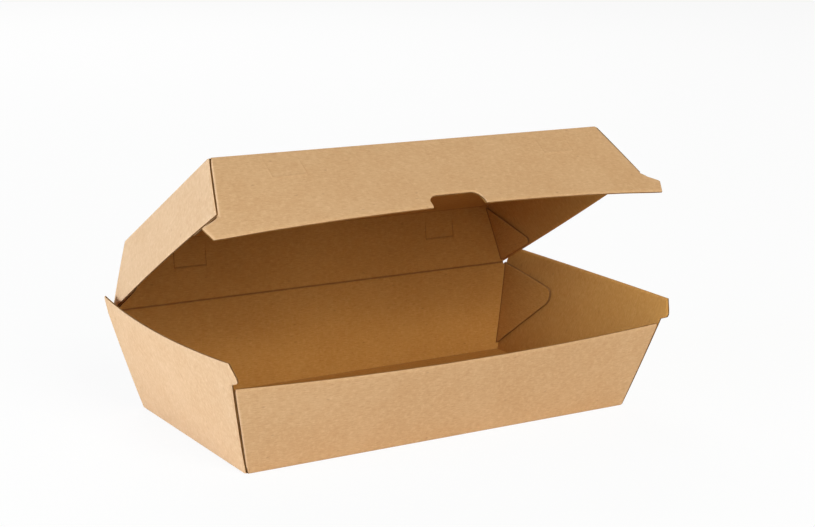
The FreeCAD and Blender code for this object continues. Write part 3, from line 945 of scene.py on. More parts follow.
@dataclass
class Tray:
    """The tray: floor, front and back walls in one strip, two ends and four glue tabs.

    A step is in millimetres and steps are a count of points. A medium is the share of
    its patch that the waved sheet reaches in from a cut edge. The fold and the waist lie
    at their shares up an end wall's patch.
    """

    plan: BoxPlan = PLAN
    wall_columns: int = 90
    seam_columns: int = 12
    hole_columns: int = 14
    hinge_rows: int = 9
    end_columns: int = 56
    end_side_columns: Stretch = (0.006, 0.006, 7)
    end_wall_rows: int = 18
    end_top_rows: int = 48
    straight_step: float = 3.0
    rim_steps: int = 620
    edge_steps: int = 120
    long_medium: float = 0.03
    rim_medium: float = 0.08
    side_medium: float = 0.05
    fold_blend: float = 4.0
    fold_share: float = 0.08
    waist_share: float = 0.7
    rim_spare: float = 1.0
    front_tab_drop: float = 0.5

    def half_at(self, level: Grid) -> Grid:
        """Half width of the long strip at a level: a little over the ends' inner faces."""
        wall = np.clip(level / BOARD.lap_start, 0, 1)
        return self.plan.tray_end(np.clip(level, 0, None)) - self.plan.end_run + BOARD.lap * wall

    def long_profile(self) -> Profile:
        """Gives the section of front wall, floor and back wall.

        Returns:
            The section, as y and z.
        """
        plan = self.plan
        back_top = plan.waist_height - plan.hinge_gap / 2
        corners = [
            (-float(plan.tray_long(plan.front_height)), plan.front_height),
            (-plan.floor_depth / 2, 0.0),
            (plan.floor_depth / 2, 0.0),
            (float(plan.tray_long(back_top)), back_top),
        ]
        return Profile(corners, hinge_end=-1)

    def build_long(self, finishes: Finishes) -> Piece:
        """Builds the strip of front wall, floor and back wall.

        A point is read off the section at its distance from the front rim. Its x is its
        share of the half width at that level. The front wall then moves out by a parabola
        along it that grows with the level, and its rim sinks by another.

        Args:
            finishes: Outer liner, cut edge and inner liner.

        Returns:
            The piece.
        """
        plan, section = self.plan, self.long_profile()
        front_end, back_start = section.folds[0][0], section.folds[1][1]
        lean = math.cos(math.radians(plan.long_splay))
        top_half = float(self.half_at(plan.waist_height))
        hole_middle = float(plan.lid_end(0.0)) - plan.lid_end_run + plan.relief_shift

        def outline(a: Grid, b: Grid) -> tuple[Grid, Grid]:
            """Reads the strip, with a half round out of the hinge edge for each relief hole.

            Args:
                a: Shares across the strip.
                b: Shares along the section.

            Returns:
                Share of the half width, from -1 to 1, and distance along the section.
            """
            from_hole = (np.abs(2 * a - 1) - hole_middle / top_half) * top_half
            bite = np.sqrt(np.clip(plan.relief_radius**2 - from_hole**2, 0, None))
            row = b * section.length
            near_hinge = np.clip((row - section.length + self.fold_blend) / self.fold_blend, 0, 1)
            return 2 * a - 1, row - bite * near_hinge

        def surface(p: Grid, q: Grid, depth: Grid) -> Grid:
            """Bends the flat strip to the folded and bowed walls, and rolls its seams.

            Args:
                p: Share of the half width.
                q: Distance along the section.
                depth: Depth below the outer face.

            Returns:
                Places in the box's frame.
            """
            on_front = np.clip((front_end - q) / front_end, 0, 1)
            half = self.half_at(section.level(q))
            x = p * half
            share = 1 - (x / (plan.waist_length / 2)) ** 2
            y, z = section.at(q + plan.front_dip / lean * share * on_front, depth)
            near_wall = np.maximum(front_end - q, q - back_start)
            roll = np.clip(near_wall / self.fold_blend, 0, 1) * (depth < BOARD.thickness / 2)
            along, into = BOARD.seam_roll(half - np.abs(x), depth)
            x = x + np.sign(p) * roll * along
            y = y - plan.front_bow * on_front * share + roll * into * np.where(q < front_end, 1, -1) * lean
            return np.stack([x, y, z], axis=-1)

        def flat(p: Grid, q: Grid) -> Grid:
            """Flutes run along x."""
            return along_first(p * plan.floor_half, q)

        hole = ((1 - hole_middle / top_half) / 2, plan.relief_radius / top_half / 2)
        packed = BOARD.seam_columns(plan.floor_half, self.seam_columns)
        packed += both_ends(*hole, self.hole_columns)
        hinge_rows = section.length - BOARD.line_rows(self.hinge_rows)
        rows = np.unique(np.concatenate([BOARD.pinch_rows(), section.rows(self.straight_step), hinge_rows]))
        panel = Panel(
            outline,
            surface,
            flat,
            columns=spread(self.wall_columns, *packed),
            rows=rows / section.length,
            free=(Edge.LOW,),
            crease_shade=lambda p, q: section.fold_lines(q),
            slit=lambda p, q: BOARD.line(section.length - q),
        )
        cuts = [(edge, self.edge_steps, self.long_medium) for edge in (Edge.LOW, Edge.HIGH)]
        return panel.build("tray_long_board", finishes, *cuts)

    def end_profile(self) -> Profile:
        """Gives the section of the fold and an end wall.

        Returns:
            The section, as distance from the middle and z.
        """
        plan = self.plan
        top = plan.rim_front + self.rim_spare
        foot = [(plan.floor_half - plan.end_run, 0.0), (plan.floor_half, 0.0)]
        return Profile([*foot, (float(plan.tray_end(top)), top)])

    def end_borders(self, section: Profile) -> tuple[list[Place], list[Place]]:
        """Gives the borders of an end wall: the front one with its hook, and the back one.

        Args:
            section: Section of the end wall.

        Returns:
            Corners of each border, as y and distance along the section. Each has the
            start and the end of the fold, the waist, and then the top.
        """
        plan = self.plan

        def away(level: float) -> float:
            """Distance along the section at a level of the wall."""
            return float(np.interp(level, section.outer[1:, 1], section.stations[1:]))

        low = plan.floor_depth / 2 - BOARD.edge_inset
        base = float(plan.tray_long(plan.hook_base_height))
        tip = base + plan.hook_reach
        tip_height = plan.hook_base_height + plan.hook_tip_rise
        corner = float(plan.tray_long(plan.rim_front))
        fold = section.folds[0][1]
        front = [
            (-low, 0.0),
            (-low, fold),
            (-base + BOARD.edge_inset, away(plan.hook_base_height)),
            (-tip, away(tip_height)),
            (-tip + plan.hook_shoulder_inset, away(tip_height + plan.hook_shoulder_rise)),
            (-corner + plan.corner_setback, away(plan.rim_front - plan.corner_drop)),
        ]
        back = [
            (low, 0.0),
            (low, fold),
            (plan.hinge_y - BOARD.edge_inset, away(plan.waist_height)),
            (plan.hinge_y - plan.rim_back_setback, away(plan.rim_back)),
        ]
        return front, back

    def border(self, chain: list[Place], radii: dict[int, float], share: Grid) -> tuple[Grid, Grid]:
        """Reads a border in its three stretches: the fold, the wall and the top.

        Args:
            chain: Corners of the border.
            radii: Radius of each rounded corner of the top, by its number from the waist.
            share: Shares up the border.

        Returns:
            y and distance along the section.
        """
        fold, waist = self.fold_share, self.waist_share
        low = along_chain(chain[:2], {}, np.clip(share / fold, 0, 1))
        mid = along_chain(chain[1:3], {}, np.clip((share - fold) / (waist - fold), 0, 1))
        top = along_chain(chain[2:], radii, np.clip((share - waist) / (1 - waist), 0, 1))
        pick = [share <= fold, share <= waist]
        return np.select(pick, [low[0], mid[0]], top[0]), np.select(pick, [low[1], mid[1]], top[1])

    def build_end(self, side: Side, finishes: Finishes) -> Piece:
        """Builds one end wall with its bottom fold and its hook.

        Rows run straight from the front border to the back border, which are read at
        matching shares. The rim sinks by a parabola. The wall moves out by a parabola
        along it that grows with the level.

        Args:
            side: Which end.
            finishes: Outer liner, cut edge and inner liner.

        Returns:
            The piece.
        """
        plan, section = self.plan, self.end_profile()
        front, back = self.end_borders(section)
        fold_end = section.folds[0][1]

        def outline(a: Grid, b: Grid) -> tuple[Grid, Grid]:
            """Reads a straight row between the two borders, with the rim's dip.

            Args:
                a: Shares from the front border to the back border.
                b: Shares up the borders.

            Returns:
                y and distance along the section.
            """
            y0, s0 = self.border(front, {1: plan.hook_radius}, b)
            y1, s1 = self.border(back, {}, b)
            on_top = np.clip((b - self.waist_share) / (1 - self.waist_share), 0, 1)
            dip = plan.rim_dip * (1 - (2 * a - 1) ** 2) * on_top
            return y0 + a * (y1 - y0), s0 + a * (s1 - s0) - dip

        def surface(p: Grid, q: Grid, depth: Grid) -> Grid:
            """Bends the flat end to the leaning and bowed wall.

            Args:
                p: y of the place.
                q: Distance along the section.
                depth: Depth below the outer face.

            Returns:
                Places in the box's frame.
            """
            x, z = section.at(q, depth)
            x = x + plan.tray_end_bow(p, z) * np.clip((q - fold_end) / self.fold_blend, 0, 1)
            return np.stack([side.value * x, p, z], axis=-1)

        stations = section.stations[section.stations <= fold_end] / fold_end
        wall = np.linspace(self.fold_share, self.waist_share, self.end_wall_rows)
        top = np.linspace(self.waist_share, 1, self.end_top_rows)
        panel = Panel(
            outline,
            surface,
            along_second,
            columns=spread(self.end_columns, *both_ends(*self.end_side_columns)),
            rows=np.unique(np.concatenate([stations * self.fold_share, wall, top])),
            free=(Edge.HIGH, Edge.LEFT, Edge.RIGHT),
        )
        return panel.build(
            f"tray_end_{side.name.lower()}",
            finishes,
            (Edge.HIGH, self.rim_steps, self.rim_medium),
            (Edge.LEFT, self.rim_steps, self.side_medium),
            (Edge.RIGHT, self.edge_steps, self.side_medium),
        )

    def tabs(self, side: Side) -> list[GlueTab]:
        """Lays out the back and the front glue tab of one end.

        Args:
            side: Which end.

        Returns:
            The two tabs.
        """
        plan = self.plan
        foot = plan.tab_foot_height
        foot_y = float(plan.tray_long(foot)) - BOARD.root_inset
        back_top = plan.waist_height - plan.hinge_gap / 2
        back_y = float(plan.tray_long(back_top)) - BOARD.root_inset
        front_top = plan.front_height - self.front_tab_drop
        front_y = -float(plan.tray_long(front_top)) + BOARD.root_inset
        back_tip = (back_y - plan.back_tab_reach, plan.back_tab_height)
        front_tip = (front_y + plan.front_tab_reach, plan.front_tab_height)
        places = {
            "back": ((foot_y, foot), (back_y, back_top), back_tip),
            "front": ((-foot_y, foot), (front_y, front_top), front_tip),
        }
        return [
            GlueTab(
                f"tray_tab_{place}_{side.name.lower()}",
                side,
                *corners,
                radius=plan.tab_radius,
                wall=plan.tray_wall,
                run=plan.end_run,
                settle=as_built,
                pinch_share=BOARD.tab_pinch_share,
            )
            for place, corners in places.items()
        ]

    def build(self, finishes: Finishes) -> list[Piece]:
        """Builds and rides every piece of the tray.

        Args:
            finishes: Outer liner, cut edge and inner liner.

        Returns:
            The pieces.
        """
        pieces = [self.build_long(finishes)]
        for side in Side:
            pieces.append(self.build_end(side, finishes))
            pieces.extend(tab.build(finishes) for tab in self.tabs(side))
        for piece in pieces:
            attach(piece, Body.TRAY.value)
            log.info("tray piece %s: %d faces", piece.name, len(piece.data.polygons))
        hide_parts(Body.TRAY.value)
        return pieces


@dataclass
class Lid:
    """The lid: back wall, top and front wall in one strip, two ends and four glue tabs.

    It is drawn closed, from the hinge line, and then opened. The steps and mediums are
    as on the tray. The lip's rows start at a level above the mouth. A clearance keeps
    the even rows away from packed ones.
    """

    plan: BoxPlan = PLAN
    wall_columns: int = 90
    side_columns: Stretch = (0.006, 0.006, 8)
    seam_columns: int = 10
    notch_columns: int = 12
    slit_columns: int = 5
    hinge_rows: int = 13
    slit_rows: int = 5
    lip_rows: int = 40
    end_columns: int = 56
    end_side_columns: Stretch = (0.008, 0.008, 7)
    hinge_clearance: float = 1.5
    lip_clearance: float = 1.0
    slit_clearance: float = 0.5
    straight_step: float = 3.0
    end_step: float = 1.5
    rim_steps: int = 620
    edge_steps: int = 200
    lip_steps: int = 1600
    lip_medium: float = 0.025
    hinge_medium: float = 0.02
    long_side_medium: float = 0.03
    mouth_medium: float = 0.12
    side_medium: float = 0.05
    upright_share: float = 0.72
    fold_blend: float = 4.0
    lip_start: float = 4.0
    ear_radius: float = 0.8
    notch_step: float = 2e-4

    @property
    def front_lean(self) -> float:
        """Level that the front wall gains for each millimetre along it."""
        return math.cos(math.radians(self.plan.lid_front_splay))

    def long_profile(self) -> Profile:
        """Gives the section of back wall, top and front wall with its lip.

        Returns:
            The section, as y and level from the hinge line.
        """
        plan = self.plan
        foot = plan.hinge_gap / 2
        corners = [
            (float(plan.lid_back(foot)), foot),
            (float(plan.lid_back(plan.lid_height)), plan.lid_height),
            (float(plan.lid_front(plan.lid_height)), plan.lid_height),
            (float(plan.lid_front(-plan.lip_depth)), -plan.lip_depth),
        ]
        return Profile(corners, hinge_end=0)

    def front_distance(self, section: Profile, level: float) -> float:
        """Distance along the section at a level of the front wall."""
        return section.length - (level + self.plan.lip_depth) / self.front_lean

    def half_at(self, level: Grid, on_front: Grid) -> Grid:
        """Gives the half width of the strip: a little over the ends' inner faces.

        On the back wall, the lap fades out on the way down, to clear the tray.

        Args:
            level: Level above the hinge.
            on_front: Whether the place is on the front wall.

        Returns:
            The half width.
        """
        below = np.clip((self.plan.lid_height - level) / BOARD.lap_start, 0, 1)
        high = np.clip((level - self.plan.lid_height / 2) / self.fold_blend, 0, 1)
        wide = self.plan.lid_end(np.clip(level, 0, None)) - self.plan.lid_end_run
        return wide + BOARD.lap * below * np.where(on_front, 1, high)

    def border(self, section: Profile, distance: Grid) -> tuple[Grid, Grid]:
        """Side border of the strip, read at row distances along the section.

        The border follows the inner faces of the ends down to the mouth, then the neck,
        tip and foot of an ear. From the start of the lip on, rows are shares of it.

        Args:
            section: The strip's section.
            distance: Row distance along the section.

        Returns:
            Half width and true distance along the section.
        """
        plan = self.plan
        lip_top = self.front_distance(section, self.lip_start)
        wide = self.half_at(section.level(distance), distance > section.folds[1][1])
        wide = wide - np.sqrt(np.clip(plan.lid_relief_radius**2 - distance**2, 0, None))
        corners = [
            (float(self.half_at(self.lip_start, True)), self.lip_start),
            (float(self.half_at(plan.mouth_rise, True)), plan.mouth_rise),
            (plan.ear_neck_half, -plan.ear_neck_depth),
            (plan.ear_tip_half, -plan.ear_tip_depth),
            (plan.ear_foot_half, -plan.lip_depth),
        ]
        chain = [(half, self.front_distance(section, level)) for half, level in corners]
        share = np.clip((distance - lip_top) / (section.length - lip_top), 0, 1)
        x, s = along_chain(chain, {3: self.ear_radius}, share)
        on_lip = distance > lip_top
        return np.where(on_lip, x, wide), np.where(on_lip, s, distance)

    def edge_rise(self, x: Grid) -> Grid:
        """Gives the height of the lip's edge above its foot: a parabola, and the notch.

        Args:
            x: Place along the lip.

        Returns:
            The height, along the board.
        """
        plan = self.plan
        rise = plan.lip_rise * (1 - (x / plan.ear_foot_half) ** 2)
        half, radius = plan.notch_width / 2, plan.notch_radius
        inner = np.clip(np.abs(x) - (half - radius), 0, radius)
        round_off = radius - np.sqrt(radius**2 - inner**2)
        notch = np.clip(plan.lip_rise + plan.notch_depth - round_off, plan.lip_rise, None)
        return np.where(np.abs(x) < half, notch, rise)

    def flap_line(self, section: Profile, p: Grid, q: Grid) -> Grid:
        """Marks three sides of each steam flap: two uprights and the foot, as narrow ridges.

        Args:
            section: The strip's section.
            p: x of the place.
            q: Distance along the section.

        Returns:
            Strength from 0 to 1, which falls off evenly over the slit's width.
        """
        plan, width = self.plan, BOARD.slit_width
        level = section.level(q)
        from_middle = np.abs(np.abs(p) - plan.vent_middle)
        beside = np.clip(1 - np.abs(from_middle - plan.vent_width / 2) / width, 0, 1)
        beside = beside * (level > plan.vent_foot - width / 4) * (level < plan.vent_head)
        below = np.clip(1 - np.abs(level - plan.vent_foot) / width, 0, 1)
        below = below * (from_middle < plan.vent_width / 2)
        return np.maximum(beside, below) * ((q < section.folds[0][0]) | (q > section.folds[1][1]))

    def long_columns(self) -> Grid:
        """Gives the columns of the strip, packed at the seams, the notch and the steam flaps.

        Returns:
            Shares across the strip.
        """
        plan = self.plan
        share = 1 / (2 * plan.ear_foot_half)
        side, arc = 0.5 + plan.notch_width / 2 * share, plan.notch_radius * share
        packed = both_ends(*self.side_columns) + BOARD.seam_columns(plan.ear_foot_half, self.seam_columns)
        packed += both_ends(side, self.notch_step, 3)
        packed += both_ends(side - arc / 2, arc / 2, self.notch_columns)
        for way in Side:
            upright = plan.vent_middle + way.value * plan.vent_width / 2
            packed += both_ends(0.5 + upright * share, BOARD.slit_width * share, self.slit_columns)
        return spread(self.wall_columns, *packed)

    def long_rows(self, section: Profile) -> Grid:
        """Gives the rows of the strip, packed at the hinge, the feet of the flaps and the lip.

        Args:
            section: The strip's section.

        Returns:
            Shares along the section.
        """
        plan = self.plan
        lip_top = self.front_distance(section, self.lip_start)
        back_foot = plan.vent_foot / math.cos(math.radians(plan.lid_back_splay))
        rows = section.rows(self.straight_step)
        rows = rows[(rows > self.hinge_clearance) & (rows < lip_top - self.lip_clearance)]
        packed = [BOARD.line_rows(self.hinge_rows), np.linspace(lip_top, section.length, self.lip_rows)]
        for foot in (back_foot, self.front_distance(section, plan.vent_foot)):
            rows = rows[np.abs(rows - foot) > self.slit_clearance]
            packed.append(foot + np.linspace(-1, 1, self.slit_rows) * BOARD.slit_width)
        return np.sort(np.concatenate([rows, *packed])) / section.length

    def build_long(self, finishes: Finishes) -> Piece:
        """Builds the strip of back wall, top and front wall, with lip, ears and notch.

        Columns stand upright up to a share of the width and then spread to the border.
        Below the start of the lip, rows are shares of the way to the edge, whose height is
        a parabola with the notch cut in. The front wall moves out by a parabola along it
        that grows down to the lip. Each steam flap has a fine burr outside and a groove
        inside, round three sides, with painted shade in the groove.

        Args:
            finishes: Outer liner, cut edge and inner liner.

        Returns:
            The piece.
        """
        plan, section = self.plan, self.long_profile()
        lip_top = self.front_distance(section, self.lip_start)
        back_end, front_start = section.folds[0][0], section.folds[1][1]
        full, upright = plan.ear_foot_half, self.upright_share

        def outline(a: Grid, b: Grid) -> tuple[Grid, Grid]:
            """Reads upright columns in the middle, spread to the border at the sides.

            Args:
                a: Shares across the strip.
                b: Shares along the section.

            Returns:
                x and distance along the section.
            """
            u, row = 2 * a - 1, b * section.length
            wide, s_side = self.border(section, row)
            out = np.clip((np.abs(u) - upright) / (1 - upright), 0, 1)
            spread_x = upright * full + out * (wide - upright * full)
            x = np.where(out > 0, spread_x, np.abs(u) * full) * np.sign(u)
            lip = np.clip((row - lip_top) / (section.length - lip_top), 0, 1)
            s_mid = row - lip * self.edge_rise(x) * (np.abs(x) <= full) / self.front_lean
            return x, s_mid + (s_side - s_mid) * out**3

        def surface(p: Grid, q: Grid, depth: Grid) -> Grid:
            """Bends the flat strip to the folded and bowed lid, rolls its seams and opens it.

            Args:
                p: x of the place.
                q: Distance along the section.
                depth: Depth below the outer face.

            Returns:
                Places in the box's frame.
            """
            y, z = section.at(q, depth)
            level = section.level(q)
            on_front = np.clip((q - front_start) / self.fold_blend, 0, 1)
            y = y - plan.lid_front_bow_at(p, level) * on_front
            on_wall = np.maximum(on_front, np.clip((back_end - q) / self.fold_blend, 0, 1))
            above = np.clip((level + plan.ear_neck_depth) / plan.ear_neck_depth, 0, 1)
            roll = on_wall * above * (depth < BOARD.thickness / 2)
            along, into = BOARD.seam_roll(self.half_at(level, q > front_start) - np.abs(p), depth)
            x = p + np.sign(p) * roll * along
            y = y + roll * into * np.where(q > front_start, 1, -1)
            return opened(np.stack([x, y, z], axis=-1))

        panel = Panel(
            outline,
            surface,
            along_first,
            columns=self.long_columns(),
            rows=self.long_rows(section),
            free=(Edge.HIGH, Edge.LEFT, Edge.RIGHT),
            free_above=self.front_distance(section, -plan.ear_neck_depth) / section.length,
            crease_shade=lambda p, q: section.fold_lines(q),
            slit=lambda p, q: BOARD.line(q),
            flap=lambda p, q: self.flap_line(section, p, q),
        )
        return panel.build(
            "lid_long_board",
            finishes,
            (Edge.HIGH, self.lip_steps, self.lip_medium),
            (Edge.LOW, self.edge_steps, self.hinge_medium),
            (Edge.LEFT, self.rim_steps, self.long_side_medium),
            (Edge.RIGHT, self.rim_steps, self.long_side_medium),
        )

    def end_profile(self) -> Profile:
        """Gives the section of the fold and a lid end wall.

        Returns:
            The section, as distance from the middle and level.
        """
        plan = self.plan
        top = float(plan.lid_end(plan.lid_height))
        corners = [
            (top - plan.lid_end_run, plan.lid_height),
            (top, plan.lid_height),
            (float(plan.lid_end(plan.mouth_rise)), plan.mouth_rise),
        ]
        return Profile(corners, inside=-1)

    def build_end(self, side: Side, finishes: Finishes) -> Piece:
        """Builds one end wall of the lid with its top fold.

        Rows run straight from the front edge to the back edge, both just inside the faces
        of the long walls. The wall moves out by a parabola along it, full at the mouth.

        Args:
            side: Which end.
            finishes: Outer liner, cut edge and inner liner.

        Returns:
            The piece.
        """
        plan, section = self.plan, self.end_profile()

        def outline(a: Grid, b: Grid) -> tuple[Grid, Grid]:
            """Reads a straight row between the two long walls.

            Args:
                a: Shares from the front wall to the back wall.
                b: Shares down the section.

            Returns:
                y from the hinge line and distance along the section.
            """
            row = b * section.length
            level = section.level(row)
            y0 = plan.lid_front(level) + BOARD.edge_inset
            y1 = plan.lid_back(level) - BOARD.edge_inset
            return y0 + a * (y1 - y0), row

        def surface(p: Grid, q: Grid, depth: Grid) -> Grid:
            """Bends the flat end to the leaning and bowed wall, and opens it.

            Args:
                p: y from the hinge line.
                q: Distance along the section.
                depth: Depth below the outer face.

            Returns:
                Places in the box's frame.
            """
            x, z = section.at(q, depth)
            fade = np.clip((q - section.folds[0][1]) / self.fold_blend, 0, 1)
            x = x + plan.lid_end_bow_at(p, z) * fade
            return opened(np.stack([side.value * x, p, z], axis=-1))

        rows = np.concatenate([section.rows(self.end_step), section.length - BOARD.pinch_rows()])
        panel = Panel(
            outline,
            surface,
            along_second,
            columns=spread(self.end_columns, *both_ends(*self.end_side_columns)),
            rows=np.unique(rows) / section.length,
            free=(Edge.HIGH, Edge.LEFT, Edge.RIGHT),
        )
        return panel.build(
            f"lid_end_{side.name.lower()}",
            finishes,
            (Edge.HIGH, self.rim_steps, self.mouth_medium),
            (Edge.LEFT, self.edge_steps, self.side_medium),
            (Edge.RIGHT, self.edge_steps, self.side_medium),
        )

    def tabs(self, side: Side) -> list[GlueTab]:
        """Lays out the back and the front glue tab of one end.

        Args:
            side: Which end.

        Returns:
            The two tabs.
        """
        plan = self.plan
        mouth, head = plan.mouth_rise, plan.lid_height - plan.lid_tab_top_drop
        tabs = []
        for place, face, way in (("back", plan.lid_back, -1), ("front", plan.lid_front, 1)):
            root, top = ((float(face(level)) + way * BOARD.root_inset, level) for level in (mouth, head))
            tab = GlueTab(
                f"lid_tab_{place}_{side.name.lower()}",
                side,
                root,
                top,
                tip=(float(face(mouth)) + way * plan.lid_tab_reach, mouth),
                radius=plan.lid_tab_radius,
                wall=plan.lid_wall,
                run=plan.lid_end_run,
                settle=opened,
                pinch_share=BOARD.lid_tab_pinch_share,
            )
            tabs.append(tab)
        return tabs

    def build(self, finishes: Finishes) -> list[Piece]:
        """Builds and rides every piece of the lid.

        Args:
            finishes: Outer liner, cut edge and inner liner.

        Returns:
            The pieces.
        """
        pieces = [self.build_long(finishes)]
        for side in Side:
            pieces.append(self.build_end(side, finishes))
            pieces.extend(tab.build(finishes) for tab in self.tabs(side))
        for piece in pieces:
            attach(piece, Body.LID.value)
            log.info("lid piece %s: %d faces", piece.name, len(piece.data.polygons))
        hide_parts(Body.LID.value)
        return pieces


@dataclass
class HingeCrease:
    """The crease that joins the two back walls, with its creased liners."""

    plan: BoxPlan = PLAN
    reach: float = 1.7
    half_length: float = 98.9
    dent: float = 0.3
    proud: float = 0.03
    blend_reach: float = 1.0
    across_steps: int = 25
    along_steps: int = 60

    def build(self, finishes: Finishes) -> Piece:
        """Builds the strip of creased board between the tray and the lid.

        Across the crease, a point goes down the tray's wall before the hinge line and up
        the lid's wall after it. Both faces sink towards the middle along a bell curve, and
        the same curve sets their painted shade.

        Args:
            finishes: Outer liner, cut edge and inner liner.

        Returns:
            The piece.
        """
        plan = self.plan
        turn = math.radians(plan.lid_opening)
        lean = math.radians(plan.lid_back_splay)
        splay = math.radians(plan.long_splay)
        hinge = np.array([plan.hinge_y, plan.waist_height])
        tray_way = np.array([math.sin(splay), math.cos(splay)])
        lid_way = np.array([math.sin(turn - lean), math.cos(turn - lean)])
        across = np.linspace(-1, 1, self.across_steps)[:, None] * self.reach
        along = np.linspace(-1, 1, self.along_steps) * self.half_length
        share = np.clip(across / self.reach / 2 + 0.5, 0, 1)
        blend = tray_way * (1 - share) + lid_way * share
        normal = np.stack([blend[:, 1], -blend[:, 0]], axis=1)
        marked = BOARD.line(across)
        line = hinge + across * np.where(across < 0, tray_way, lid_way)
        outer = line + normal * (self.proud - self.dent * marked)
        inner = line - normal * (BOARD.thickness + self.proud - self.dent * marked)
        grid = (self.across_steps, self.along_steps)
        x = np.broadcast_to(along, grid)
        faces = [
            np.stack([x, *(np.broadcast_to(part[:, None], grid) for part in face.T)], axis=-1)
            for face in (outer, inner)
        ]
        sheet = along_first(x, np.broadcast_to(across, grid))
        store = MeshStore()
        # The crease's bell curve is also the strength of the painted shade on both faces
        store.add_shell(*faces, sheet, (Face.OUTER, Face.INNER), marked)
        piece = store.build("hinge_crease", finishes)
        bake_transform(piece)
        log.info("crease %s: %d faces", piece.name, len(piece.data.polygons))
        return piece


def linear(code: str) -> tuple[float, float, float, float]:
    """Turns an sRGB hex code to the linear colour that the shader takes.

    Args:
        code: Six hex digits after a hash sign.

    Returns:
        Linear red, green, blue and a full alpha.
    """
    parts = np.array([int(code[i : i + 2], 16) for i in (1, 3, 5)]) / 255
    parts = np.where(parts <= 0.04045, parts / 12.92, ((parts + 0.055) / 1.055) ** 2.4)
    return (*map(float, parts), 1.0)


def add_node(tree: Tree, kind: str, inputs: dict | None = None, **settings: object) -> bpy.types.Node:
    """Adds a node, sets its options and fills or links its sockets.

    Args:
        tree: Node tree of the material or world.
        kind: Node type.
        inputs: Values or output sockets by socket name or number.
        **settings: Options of the node.

    Returns:
        The node.
    """
    node = tree.nodes.new(kind)
    for name, value in settings.items():
        setattr(node, name, value)
    for name, value in (inputs or {}).items():
        if isinstance(value, Socket):
            tree.links.new(value, node.inputs[name])
        else:
            node.inputs[name].default_value = value
    return node


def new_material(name: str) -> tuple[bpy.types.Material, Tree]:
    """Gives a material with an empty node tree.

    Args:
        name: Name of the material.

    Returns:
        The material and its tree.
    """
    material = bpy.data.materials.new(name)
    material.use_nodes = True
    material.node_tree.nodes.clear()
    return material, material.node_tree


